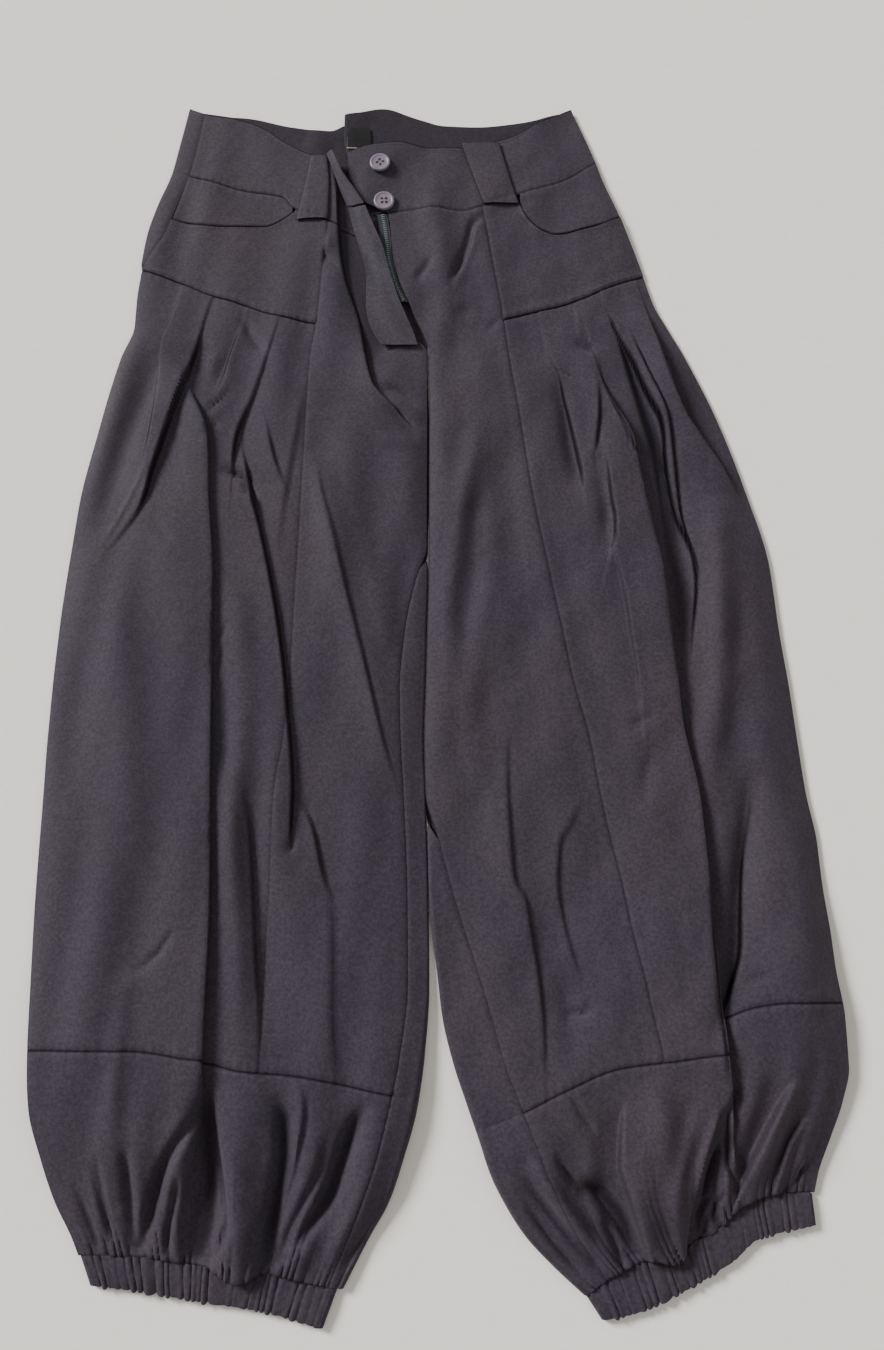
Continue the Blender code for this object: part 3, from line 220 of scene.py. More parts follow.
LEFT_FOLDS = (
    ("main_overlap", 1, 4.0, 34.0, (
        (245, 134, 0, 0), (215, 139, 4, 2), (186, 147, 6, 6), (156, 158, 6.5, 7.5), (110, 165, 7, 8),
        (38, 177, 7, 8), (-36, 182, 7, 8), (-73, 184, 7, 8), (-139, 194, 7, 8), (-211, 197, 7, 8),
        (-299, 201, 7, 8), (-336, 202, 6, 8), (-370, 205, 5, 5), (-395, 208, 3, 0), (-420, 210, 0, 0))),
    ("outer_fold", 1, 3.5, 16.0, (
        (280, 182, 0, 0), (241, 189, 4, 0), (191, 203, 5, 0), (156, 224, 4.5, 0), (133, 236, 3, 0),
        (108, 251, 0, 0))),
    ("hip_crease", 1, 2.5, 16.0, (
        (262, 163, 0, 0), (223, 176, 3, 0), (171, 193, 3, 0), (94, 198, 3, 0), (45, 208, 2, 0),
        (15, 207, 0, 0))),
    ("outer_ridge", 0, 9.0, 0.0, (
        (110, 229, 0, 0), (81, 227, 4, 0), (10, 223, 4.5, 0), (-58, 217, 4.5, 0), (-128, 206, 2, 0),
        (-150, 204, 0, 0))),
    ("outer_trough", 0, 7.0, 0.0, (
        (-105, 240, 0, 0), (-128, 238, -2, 0), (-180, 231, -2.4, 0), (-241, 222, -2.4, 0), (-285, 214, -1, 0),
        (-300, 212, 0, 0))),
    ("outer_swell", 0, 20.0, 0.0, (
        (-60, 252, 0, 0), (-150, 260, 3, 0), (-250, 258, 4, 0), (-330, 250, 3, 0), (-400, 240, 0, 0))),
    ("fly_ridge", 0, 9.0, 0.0, (
        (440, -6, 0, 0), (405, 4, 1.6, 0), (372, 0, 2.6, 0), (324, 9, 3.6, 0), (265, 7, 3.4, 0),
        (218, 1, 2.5, 0), (120, 6, 2, 0), (-60, 8, 2, 0), (-120, 10, 0, 0))),
    ("stand_prop", 0, 26.0, 0.0, ((470, -48, 2.6, 0), (440, -48, 2.2, 0), (415, -48, 0, 0))),
)
BACK_OVERLAP = ("back_overlap", -1, 3.0, 45.0, (
    (490, -74, 4.6, 8.0), (455, -74, 4.4, 8.0), (440, -74, 3.4, 5.0), (425, -74, 0, 0)))

# Gathers of the hem bands: place across the leg at the band seam and at the cuff, height, width
RIGHT_GATHERS = (
    (0.24, 0.12, 2.5, 0.020), (0.34, 0.21, 3.5, 0.030), (0.44, 0.33, 3.5, 0.024), (0.50, 0.58, 5.5, 0.042),
    (0.73, 0.79, 5.5, 0.042), (0.915, 0.905, 4.0, 0.030),
)
LEFT_GATHERS = (
    (0.94, 0.95, 2.5, 0.020), (0.80, 0.86, 4.5, 0.040), (0.67, 0.74, 3.0, 0.025), (0.46, 0.63, 5.5, 0.050),
    (0.34, 0.50, 3.0, 0.020), (0.30, 0.40, 3.0, 0.020), (0.21, 0.30, 4.0, 0.026), (0.12, 0.20, 4.0, 0.026),
    (0.05, 0.07, 2.5, 0.020),
)

# The end of each leg's main fold, which hangs over the cuff: x and lean of its left edge, x and lean
# of its right edge, height
FOLD_ENDS = {"right": (-148, 0.18, -118, 0.24, 3.8), "left": (146, -0.30, 171, 0.14, 3.6)}

# Height of the front's middle surface at the inner edge, by y
RIGHT_INNER_LEVEL = ((450, 3.4), (80, 3.2), (40, 3.4), (-300, 4.2), (-460, 4.6))
LEFT_INNER_LEVEL = ((450, 3.2), (-110, 3.2), (-150, 5.0), (-300, 5.6), (-460, 4.8))

# Height of the front's middle surface at the outer edge, by y
RIGHT_OUTER_LEVEL = ((487, 3.4), (330, 3.4), (300, 2.6), (-300, 2.6), (-460, 3.0))
LEFT_OUTER_LEVEL = ((487, 2.8), (430, 3.2), (373, 4.9), (340, 3.6), (300, 2.6), (-300, 2.6), (-400, 3.0))

# Levels of the rows that the panels of each leg share, at the princess seam
RIGHT_LEVELS = (268, 240, 205, 165, 125, 90, 66, 47, 5, -45, -90, -140, -190, -235, -280, -326)
LEFT_LEVELS = (271, 240, 205, 165, 120, 75, 30, -20, -65, -105, -144, -168, -205, -240, -275, -320)
BAND_FADE = -200

# Where each back panel curls round an edge: y where the curl is whole, y where it has ended
RIGHT_INNER_CURL = (48, 64)
LEFT_INNER_CURL = (-166, -146)
RIGHT_OUTER_CURL = (326, 319)

# Front edges beside the open fly, as rows of y and x
RIGHT_FLY_EDGE = ((440, -86), (415, -82), (383, -70), (363, -65), (339, -58), (312, -51), (287, -48),
                  (272, -38), (258, -24), (249, -9), (243, -5))
LEFT_FLY_EDGE = ((443, -76), (415, -74), (402, -68), (388, -60), (378, -40), (358, -37), (334, -35),
                 (316, -31), (298, -25), (289, -21), (274, -15), (260, -9), (247, -4))

# Turned-up waistband end and fly flap, as rows of y, left x, right x, level at the left and the right
WAIST_END = ((436, -94, -89, 8.6, 13.5), (415, -87, -80, 7.4, 12.5), (398, -81, -69, 7.0, 11.5),
             (383, -75, -60, 7.0, 10.5))
FLY_FLAP = ((381, -74, -59, 7.0, 10.4), (363, -70, -52, 7.0, 10.0), (339, -63, -43, 7.0, 9.8),
            (312, -57, -36, 7.0, 9.4), (287, -57, -28, 7.0, 8.8), (272, -55, -22, 7.0, 8.2),
            (257, -49, -16, 7.2, 7.6), (247, -43, -13, 7.4, 7.2))

# Zip tape, belt loops and label, as rows of y, left x and right x
ZIP_TAPE = ((376, -49, -40.5), (358, -47, -37.5), (334, -45, -35.5), (316, -41, -31.5), (298, -35, -25.5),
            (289, -31, -21.5))
RIGHT_LOOP = ((434, -108, -94), (400, -113, -91), (368, -119, -91))
LEFT_LOOP = ((448, 24, 58), (415, 34, 66), (386, 43, 74))
LABEL_ROWS = ((465, -74, -57), (455, -76, -56), (445.5, -76.5, -56))

# x from which the cloth under the label settles
LABEL_START = -71.0

# Each button's centre, its slopes along x and y, and the angle of its first hole in degrees
BUTTON_CENTRES = ((-47, 426), (-43, 388))
BUTTON_TILTS = ((0.02, -0.02), (-0.02, 0.03))
BUTTON_TURNS = (8.0, 47.0)

# Face of a button from its middle outwards: share of the radius, height
BUTTON_FACE = ((0.0, 2.1), (0.5, 2.1), (0.66, 2.15), (0.76, 2.5), (0.84, 2.7), (0.92, 2.6), (0.97, 2.25),
               (1.0, 1.7))

# Sewn seams: row stops beside them, their groove, the puckers along it, the turnings that swell on
# both sides, and the painted shade line in the groove
SEAM_STEPS = (GAP, 0.7, 1.6, 3.0)
SEAM_DEPTH = 1.0
SEAM_WIDTH = 0.9
SEAM_PUCKER = 0.2
PUCKER_LENGTH = 7.3
PUCKER_WIDTH = 4.5
SEAM_SWELL = 0.25
TURNING = 5.0
TURNING_WIDTH = 2.4
SEAM_LINE = 0.7
TOP_SHARE = 0.8
YOKE_RISE = 0.45

# How deep each seam is drawn in and how dark its painted shade line is, as a share, and the y where
# the inseam's stitching meets the fly's end
SEAM_SHARES = {
    "right": {"princess": 0.35, "waist": 0.8, "band": 0.8, "cuff": 0.5, "yoke": 0.7, "inseam": 0.6,
              "side": 0.45, "fly_end": 247},
    "left": {"princess": 0.5, "waist": 0.5, "band": 0.8, "cuff": 0.5, "yoke": 0.7, "inseam": 0.6,
             "fly_end": 240},
}

# Folds and creases: painted shade inside the waist, how the fold's step rises and settles, the painted
# shade of its crack, and how much the heights of the tables are raised
INSIDE_SHADE = 0.36
FOLD_SHARPNESS = 0.3
HIGH_SHARE = 0.6
LOW_SETTLE = 0.8
CREASE_NARROW = 0.7
CREASE_CRACK = 0.45
SWELL_CRACK = 0.35
NARROW_SWELL = 2.4
DEEP_SWELL = -1.1
CRACK_WIDTH = 0.95
CRACK_FULL = 2.6
FOLD_CRACK = 0.8
LOWEST_FRONT = 2.0
FOLD_GAIN = 1.25
CREASE_GAIN = 1.1
BAND_CREASE_GAIN = 2.2

# Fullness of the hem band and the leg, and how calm the ripples are beside an edge
BAND_FULLNESS = 6.0
LEG_FULLNESS = 2.8
LEG_ROUND = 22.0
LEG_RISE = 70.0
EDGE_QUIET = 0.85

# y between which the inner edge goes from level cloth above the fly's end to rounded below it, and
# the shares of the hem band's height between which the leg's fullness grows, 0 at the band seam
FLY_END = (262.0, 236.0)
BAND_RISE = (-0.9, 0.15)

# Hem bands, their gathers and the puckers above each cuff, with painted shade in the puckers' shut valleys
SOFT_LANDING = 0.5
FLOOR_RIDGE = 0.6
BAND_RIDGE = 3.0
GATHER_FALL = 0.75
FOLD_END_STEP = 2.2
FOLD_END_REACH = (64.0, 14.0)
PUCKER_HEIGHT = 1.9
PUCKER_REACH = (7.0, 17.0)
PUCKER_SHUT = 0.16
PUCKER_DARK = 6.0
PUCKER_SHADE = 0.75
BAND_ROWS = 76
BAND_COLUMN_STEP = 1.5
BACK_ROWS = 180

# Cuffs, zip and stitches; a size is the half length, half width and half height of one bead
CUFF_UNEVEN = (0.55, 0.30)
CUFF_WAVE = 1.2
CUFF_SWELL = 0.7
CUFF_FRILL = 3.0
CUFF_ROWS = 14
CUFF_STEPS = 10
ZIP_PITCH = 1.9
STITCH_SPACING = 2.9
STITCH_SIZE = (1.05, 0.3, 0.22)
LOOP_STITCH_SHARES = (0.14, 0.86)
COIL_SIZE = (1.9, 0.42, 0.7)
HOLE_SHADE_SIZE = (1.4, 1.4, 0.3)
BUTTON_THREAD_SIZE = (1.1, 0.3, 0.3)

# Topstitched seams: name, x of the ends, steps along it, how far above the seam, and lift
STITCH_LINES = {
    "right": (("pocket", (-228.0, -123.0), 90, -4.6, 0.6 * YOKE_RISE),
              ("yoke", (-240.0, -101.0), 90, 4.0, 0.8 * YOKE_RISE),
              ("waist", (-222.0, -66.0), 120, 2.2, 0.0), ("top", (-214.0, -92.0), 90, -3.0, 0.0)),
    "left": (("pocket", (160.0, 76.0), 90, -4.6, 0.6 * YOKE_RISE),
             ("yoke", (61.0, 178.0), 90, 4.0, 0.8 * YOKE_RISE),
             ("waist", (-54.0, 138.0), 120, 2.2, 0.0), ("top", (-72.0, 120.0), 90, -3.0, 0.0)),
}

# Sums of waves: how many, shortest and longest wavelength, size, and spread of their direction
RIPPLES = ((14, 40.0, 110.0, 0.24, 0.35), (12, 12.0, 26.0, 0.025, 0.9))

# The scale that makes a wave texture's thread about 0.6 mm wide
WEAVE_SCALE = 520.0
# Painted shade: how far the colour goes towards a near-black where shade falls (seams, shut creases, hollows and
# other shaded places), and the cloth's gloss away from it
SEAM_SHADE = 0.95
PAINTED_SHADE_COLOUR = (0.004, 0.003, 0.004)
CLOTH_GLOSS = 0.22

# Studio: name, direction that it shines from, strength, angle that it spreads over, and colour
LIGHTS = (
    ("key", (-1.5, 0.95, 0.95), 5.5, 18.0, (0.98, 0.985, 1.0)),
    ("fill", (1.2, 0.3, 1.6), 0.45, 60.0, (0.93, 0.96, 1.0)),
)
SURROUND_COLOUR = (1.0, 0.975, 0.95)
SURROUND_STRENGTH = 0.40

# Pleats and creases, each given as rows of photo x, photo y and height.
# Pleats: the side that stands high when one is followed down the photo (1 right, -1 left), half
# width, how far the high side and the low side take to settle (0 on the low side: LOW_SETTLE of the
# high one's), and how dark the painted shade in its shut crack is. Creases are plainer: side, half width
# before CREASE_NARROW, and how far the high side takes to settle.
# Troughs: half width and how dark the painted shade in its hollow is. Swells are soft ridges, or shallow
# troughs where their heights are below zero: half width.
RIGHT_PLEATS = (
    (1, 0.9, 30, 0, 0.9, ((181, 288, 0.6), (174, 308, 1.2), (168, 325, 2.2), (163, 342, 5.0),
        (160, 365, 5.6), (157, 395, 4.6), (153, 425, 3.0), (147, 455, 1.5), (138, 485, 0))),
    (-1, 0.9, 24, 20, 0.8, ((211, 299, 0.8), (203, 325, 1.2), (199, 342, 1.8), (193, 362, 3.2),
        (188, 378, 4.4), (178, 405, 5.2), (168, 432, 5.2), (160, 455, 4.8), (153, 475, 4.2),
        (147, 497, 3.2), (140, 513, 1.8), (119, 540, 0.9), (100, 562, 0))),
    (1, 0.9, 15, 14, 0.9, ((245, 312, 0.6), (240, 328, 1.0), (234, 345, 2.8), (229, 360, 3.2),
        (223, 378, 2.2), (216, 394, 0.8), (210, 404, 0))),
    (-1, 0.9, 15, 22, 0.7, ((279, 319, 0.6), (272, 342, 1.0), (262, 374, 1.6), (251, 403, 2.0),
        (243, 420, 2.6), (237, 437, 3.2), (234, 455, 2.6), (233, 470, 1.0))),
    (-1, 0.9, 20, 0, 0.8, ((243, 452, 0.6), (248, 472, 2.6), (252, 488, 3.2), (257, 508, 1.6),
        (261, 524, 0))),
    (-1, 1.0, 12, 12, 0.7, ((267, 424, 0.4), (271, 442, 1.6), (276, 462, 2.0), (284, 483, 0.6))),
    (-1, 2.6, 24, 16, 0, ((306, 385, 0), (299, 425, 1.6), (291, 470, 1.8), (283, 520, 1.0), (278, 560, 0))),
)
RIGHT_CREASES = (
    (-1, 1.4, 10, ((297, 803, 0.2), (305, 811, 1.6), (313, 828, 2.4), (318, 850, 2.6),
        (323, 873, 2.2), (330, 892, 0.8))),
    (-1, 5.0, 18, ((328, 885, 0), (333, 930, 1.8), (333, 1000, 2.0), (336, 1060, 1.4),
        (345, 1090, 0))),
    (-1, 2.2, 12, ((243, 790, 0), (249, 820, 1.8), (252, 870, 2.4), (256, 955, 2.4),
        (260, 1010, 1.4), (262, 1062, 0.4))),
    (-1, 1.6, 12, ((317, 460, 0), (323, 492, 1.4), (334, 533, 2.0), (347, 590, 2.2),
        (361, 646, 2.2), (372, 692, 2.2), (384, 742, 1.6), (402, 800, 0))),
    (-1, 2.4, 12, ((300, 1078, 0), (306, 1105, 1.6), (300, 1150, 1.8), (290, 1190, 1.2),
        (282, 1220, 0))),
)
RIGHT_TROUGHS = (
    (9.0, 0.34, ((350, 222, -0.6), (354, 245, -1.8), (362, 275, -2.4), (370, 305, -2.2), (378, 335, -1.4),
        (386, 356, 0))),
    (6.0, 0.34, ((207, 338, 0), (203, 352, -1.6), (200, 368, -1.8), (206, 392, -0.8), (212, 410, 0))),
    (4.0, 0.3, ((226, 352, 0), (221, 372, -1.4), (213, 390, -0.4))),
    (9.0, 0.28, ((158, 345, 0), (146, 385, -2.4), (128, 430, -3.0), (110, 480, -2.6), (96, 525, -1.4),
        (86, 565, 0))),
    (2.8, 0.5, ((227, 472, -1.5), (237, 475, -4.0), (247, 482, -4.6), (250, 492, -2.0))),
    (1.3, 0.7, ((206, 414, -0.8), (217, 404, -1.8), (230, 393, -0.6))),
    (1.2, 0.5, ((208, 431, -0.5), (216, 426, -1.2), (226, 421, -0.3))),
    (1.8, 0.2, ((134, 973, 0), (146, 966, -0.9), (158, 957, -1.5), (168, 944, -1.2), (179, 929, 0))),
    (5.5, 0.55, ((207, 1083, -0.4), (207, 1115, -2.4), (208, 1150, -3.4), (210, 1185, -3.6),
        (206, 1220, -3.4), (198, 1252, -2.0))),
    (4.6, 0.55, ((276, 1092, 0), (286, 1122, -3.0), (286, 1150, -3.4), (280, 1190, -3.2),
        (271, 1230, -2.4), (266, 1256, -1.2))),
    (4.0, 0.4, ((368, 1096, 0), (354, 1128, -3.2), (342, 1160, -3.6), (331, 1190, -3.6),
        (314, 1218, -3.2), (299, 1242, -2.0))),
    (10.0, 0.45, ((345, 208, -0.8), (352, 250, -2.2), (361, 300, -2.4), (373, 345, -2.0),
        (388, 378, 0))),
)
RIGHT_SWELLS = (
    (9.0, ((142, 320, 0), (128, 370, 1.6), (110, 430, 1.8), (92, 490, 1.4), (80, 545, 0))),
    (1.5, ((150, 466, 0.2), (126, 510, 0.8), (96, 555, 0))),
    (2.6, ((243, 318, -0.6), (250, 334, -2.4), (258, 345, -2.4), (267, 353, -0.6))),
    (2.5, ((150, 518, 0), (163, 532, -0.9), (179, 546, 0))),
    (6.5, ((112, 1008, 0), (130, 985, 0.7), (150, 980, 0.5), (172, 962, 0))),
    (5.0, ((136, 970, 0), (128, 995, 0.8), (122, 1045, 1.2), (119, 1100, 1.2),
        (117, 1190, 0.6))),
    (2.0, ((293, 832, 0), (292, 849, -1.4), (282, 851, 0))),
    (2.4, ((380, 390, 0), (392, 389, -1.5), (403, 393, -1.8), (413, 401, -1.4),
        (424, 407, 0))),
    (4.0, ((384, 398, 0), (400, 405, 1.6), (416, 414, 1.4), (426, 420, 0))),
    (3.0, ((384, 404, 0), (400, 419, -1.4), (410, 430, -1.6), (419, 442, 0))),
    (3.0, ((376, 436, 0), (392, 441, 0.9), (410, 444, 0.7), (420, 450, 0))),
    (3.6, ((297, 219, -1.0), (303, 230, -2.6), (312, 243, -3.0), (322, 254, -2.4),
        (334, 264, -1.2))),
    (5.0, ((306, 217, 0), (314, 232, 1.4), (326, 245, 1.4), (334, 252, 0))),
    (9.0, ((345, 400, 0), (352, 470, 1.8), (366, 560, 2.2), (384, 640, 1.6), (396, 700, 0))),
    (7.0, ((392, 470, 0), (404, 540, -1.2), (404, 620, -1.4), (398, 680, 0))),
    (8.0, ((226, 560, 0), (243, 640, 2.0), (247, 700, 2.4), (238, 780, 2.0), (236, 850, 1.0),
        (240, 930, 0))),
    (5.0, ((219, 640, 0), (226, 700, -1.5), (227, 780, -1.6), (222, 850, 0))),
    (3.0, ((214, 640, -0.4), (222, 634, -0.8), (232, 620, 0))),
    (3.0, ((214, 672, -0.4), (220, 655, -0.8), (224, 640, 0))),
    (8.0, ((262, 640, 0), (274, 720, 1.8), (278, 800, 2.0), (286, 870, 1.2), (296, 960, 0))),
    (10.0, ((120, 560, 0), (126, 650, 1.6), (132, 760, 1.8), (140, 860, 1.0), (150, 930, 0))),
    (12.0, ((84, 620, 0), (78, 720, -1.2), (78, 860, -1.4), (86, 960, 0))),
    (10.0, ((186, 520, 0), (184, 640, 1.4), (182, 780, 1.2), (186, 920, 0))),
    (3.0, ((203, 1110, -0.6), (188, 1130, -1.8), (175, 1149, -2.4), (163, 1175, -2.6),
        (150, 1215, -2.4), (142, 1246, -1.4))),
    (2.4, ((206, 1085, -0.4), (213, 1120, -1.6), (220, 1160, -2.2), (226, 1200, -2.4),
        (228, 1225, -2.0), (214, 1258, -1.0))),
    (2.6, ((400, 1180, 0), (385, 1208, -2.0), (368, 1236, -2.2), (348, 1262, -1.0))),
    (3.2, ((127, 1140, 0), (130, 1175, -2.2), (132, 1210, -2.4), (134, 1246, -1.0))),
    (2.2, ((182, 1170, 0), (176, 1200, -1.8), (170, 1228, -2.0), (166, 1252, -1.0))),
    (2.6, ((98, 1150, 0), (103, 1190, -1.6), (108, 1225, -1.8), (111, 1250, -0.8))),
    (2.4, ((75, 1180, 0), (86, 1212, -1.3), (95, 1240, -1.4), (99, 1255, -0.6))),
    (2.6, ((330, 1130, 0), (322, 1165, -1.2), (306, 1200, -1.8), (290, 1232, -1.8),
        (282, 1258, -0.8))),
)
LEFT_PLEATS = (
    (-1, 0.9, 22, 14, 0.9, ((706, 855, 0), (708, 900, 1.4), (711, 950, 2.0), (716, 1000, 2.4), (720, 1050, 2.0),
        (722, 1080, 0))),
    (1, 0.9, 16, 10, 1.0, ((746, 815, 0.4), (743, 865, 2.4), (741, 905, 3.6), (740, 946, 3.6),
        (731, 985, 3.0), (722, 1012, 1.0))),
    (1, 0.9, 11, 16, 0.9, ((540, 315, 0.5), (546, 345, 0.8), (552, 365, 1.2), (558, 376, 1.8),
        (563, 398, 3.0), (570, 425, 3.6), (577, 455, 3.4), (581, 475, 2.4), (583, 492, 0.6))),
    (1, 0.9, 9, 9, 0.4, ((575, 312, 0.6), (577, 324, 0.9), (579, 336, 0.2))),
    (1, 0.9, 16, 16, 0.9, ((590, 343, 1.2), (597, 368, 1.9), (605, 392, 2.2), (615, 415, 2.4),
        (624, 435, 2.6), (632, 452, 3.0), (637, 461, 1.0))),
    (-1, 0.9, 8, 9, 0.9, ((597, 383, 0.6), (598, 400, 1.8), (598, 420, 2.4), (596, 440, 2.2),
        (594, 453, 0.8))),
    (1, 1.1, 16, 16, 0.8, ((602, 448, 0.6), (606, 470, 1.8), (610, 500, 3.0), (614, 522, 3.4),
        (614, 536, 2.6), (611, 550, 1.4))),
    (1, 1.0, 16, 15, 0.6, ((613, 552, 0.6), (620, 580, 2.0), (626, 610, 2.4), (630, 640, 2.2),
        (636, 676, 2.0), (640, 716, 0.8), (644, 760, 0))),
    (1, 0.9, 26, 22, 1.0, ((603, 300, 0.8), (609, 318, 1.6), (613, 328, 3.2), (622, 345, 5.0),
        (632, 362, 6.0), (642, 385, 6.8), (652, 405, 6.8), (660, 420, 6.2), (664, 440, 5.8), (665, 455, 5.6),
        (667, 472, 5.6), (671, 495, 5.2), (677, 520, 4.4), (686, 540, 3.4), (693, 560, 3.0), (696, 590, 3.0),
        (693, 630, 2.0), (688, 690, 0))),
    (-1, 1.6, 14, 12, 0.2, ((616, 334, 0.8), (624, 360, 3.4), (634, 395, 4.8), (644, 430, 5.0), (654, 465, 4.8),
        (661, 510, 4.0), (666, 560, 3.0), (669, 620, 1.0))),
    (-1, 0.9, 26, 18, 0.6, ((640, 290, 0.8), (647, 312, 1.8), (652, 330, 3.0), (660, 350, 4.8),
        (668, 370, 5.4), (675, 390, 5.2), (684, 415, 4.4), (700, 438, 3.8), (720, 465, 3.0),
        (735, 490, 2.2), (746, 505, 0.8))),
)
LEFT_CREASES = (
    (1, 1.8, 14, ((486, 217, 0), (475, 226, 1.4), (471, 242, 1.8), (463, 264, 1.6),
        (452, 288, 0))),
    (-1, 2.4, 14, ((508, 725, 0), (508, 780, 1.6), (511, 840, 2.2), (515, 881, 2.4),
        (526, 900, 2.2), (531, 930, 2.4), (540, 985, 2.4), (544, 1040, 1.8), (544, 1084, 0.4))),
    (-1, 2.6, 12, ((584, 800, 0), (572, 822, 1.4), (560, 845, 2.0), (558, 881, 2.2),
        (565, 926, 2.0), (575, 962, 1.4), (584, 985, 0))),
    (-1, 1.6, 10, ((752, 790, 0), (748, 820, 1.0), (744, 850, 1.6), (740, 884, 1.4),
        (742, 900, 0.4))),
    (1, 1.6, 18, ((624, 1097, 0), (620, 1120, 1.8), (618, 1160, 2.8), (627, 1195, 3.0),
        (640, 1234, 2.4), (650, 1262, 1.2))),
    (-1, 1.6, 16, ((719, 1100, 0), (712, 1125, 2.0), (705, 1149, 3.2), (698, 1178, 3.4),
        (690, 1214, 2.4), (686, 1236, 1.0))),
    (1, 1.6, 15, ((792, 1074, 0), (777, 1100, 2.4), (764, 1127, 3.4), (750, 1160, 3.4),
        (740, 1188, 1.6))),
    (1, 1.6, 11, ((806, 1111, 0), (795, 1126, 2.0), (786, 1141, 2.6), (778, 1166, 2.4),
        (773, 1188, 0.8))),
)
LEFT_TROUGHS = (
    (4.5, 0.3, ((555, 385, 0), (563, 410, -2.2), (568, 440, -2.8), (574, 468, -2.2), (579, 492, 0))),
    (4.0, 0.3, ((594, 458, 0), (600, 490, -1.6), (605, 520, -2.0), (604, 548, -0.6))),
    (8.5, 0.3, ((612, 322, 0), (624, 352, -2.6), (636, 384, -4.2), (646, 412, -4.6),
        (656, 445, -4.4), (663, 478, -4.4), (671, 520, -4.4), (677, 560, -4.0), (682, 600, -3.2),
        (684, 640, -2.0), (686, 700, 0))),
    (1.1, 0.7, ((558, 372, -0.8), (568, 377, -1.4), (580, 384, -0.5))),
    (3.2, 0.2, ((582, 346, -1.2), (590, 349, -2.0))),
    (5.0, 0.6, ((576, 1184, -0.5), (591, 1189, -3.0), (605, 1198, -4.2), (617, 1211, -4.4),
        (626, 1226, -4.0), (633, 1250, -1.6))),
    (1.6, 0.6, ((712, 1196, -0.2), (702, 1206, -1.6), (698, 1218, -2.0), (699, 1234, -1.0))),
    (1.5, 0.6, ((722, 1194, -0.2), (716, 1206, -1.5), (715, 1217, -1.7), (720, 1227, -0.6))),
    (1.3, 0.5, ((708, 1216, -0.3), (706, 1226, -1.4), (702, 1238, -1.0))),
)
LEFT_SWELLS = (
    (2.2, ((484, 214, -0.6), (472, 224, -1.6), (468, 240, -2.0), (460, 262, -2.2),
        (448, 288, 0))),
    (2.4, ((414, 282, 0), (421, 273, -1.6), (428, 265, -1.4), (432, 256, 0))),
    (2.0, ((484, 334, 0), (493, 325, -1.2), (504, 317, -0.4))),
    (4.0, ((452, 318, 0), (464, 312, -1.2), (476, 308, 0))),
    (6.0, ((484, 405, 0), (474, 450, 1.8), (464, 500, 2.4), (457, 545, 2.6), (450, 605, 2.0),
        (454, 690, 0))),
    (7.0, ((480, 480, 0), (476, 520, -1.8), (474, 575, -1.8), (476, 620, 0))),
    (9.0, ((506, 420, 0), (508, 470, -1.6), (512, 540, -1.4), (514, 600, 0))),
    (7.0, ((490, 560, 0), (482, 610, 1.6), (474, 670, 1.8), (470, 730, 1.2), (478, 800, 0))),
    (2.2, ((562, 1019, 0), (572, 1014, -1.6), (584, 1013, -1.8), (591, 998, 0))),
    (6.0, ((560, 960, 0), (566, 1000, -1.4), (570, 1040, -1.2), (572, 1080, 0))),
    (2.4, ((626, 728, 0), (640, 723, -1.5), (656, 716, 0))),
    (4.0, ((650, 745, 0), (646, 775, -1.4), (643, 810, 0))),
    (7.0, ((712, 520, 0), (718, 560, 1.6), (720, 620, 2.0), (719, 690, 1.4), (712, 750, 0))),
    (10.0, ((745, 540, 0), (757, 620, 1.4), (766, 700, 1.4), (775, 790, 0))),
    (12.0, ((640, 760, 0), (656, 850, 1.6), (672, 930, 1.4), (684, 1000, 0))),
    (9.0, ((600, 860, 0), (606, 940, 1.2), (616, 1010, 0.8), (622, 1050, 0))),
    (4.5, ((754, 770, 0), (746, 830, -2.0), (740, 880, -2.6), (736, 920, -2.8),
        (728, 962, -3.2), (720, 1004, -3.2), (716, 1030, -1.5))),
    (8.0, ((790, 800, 0), (800, 880, 1.8), (806, 950, 1.6), (808, 1000, 0.6))),
    (3.0, ((744, 985, 0), (756, 978, -1.2), (770, 985, 0))),
    (1.8, ((566, 1088, -0.3), (582, 1115, -1.3), (596, 1132, 0))),
    (2.0, ((552, 1150, 0), (568, 1174, -1.7), (584, 1192, -0.4))),
    (2.6, ((520, 1172, 0), (548, 1207, -2.2), (570, 1236, -2.4), (594, 1262, -1.0))),
    (3.4, ((528, 1160, 0), (556, 1196, 2.0), (580, 1224, 2.4), (606, 1256, 1.4),
        (614, 1270, 0.4))),
    (2.4, ((512, 1186, 0), (540, 1224, -1.6), (566, 1256, -1.8), (584, 1276, -0.6))),
    (2.0, ((600, 1218, 0), (612, 1238, -1.8), (622, 1262, -1.0))),
    (1.5, ((719, 1132, 0), (710, 1163, -1.9), (703, 1194, -1.6), (700, 1212, -0.4))),
    (1.8, ((735, 1082, 0), (724, 1120, -2.0), (726, 1155, -2.4), (734, 1188, -1.0))),
    (1.8, ((810, 1161, 0), (800, 1172, -1.6), (792, 1188, -0.8))),
    (7.0, ((655, 1075, 0), (662, 1130, 1.6), (668, 1190, 1.2), (668, 1230, 0))),
)


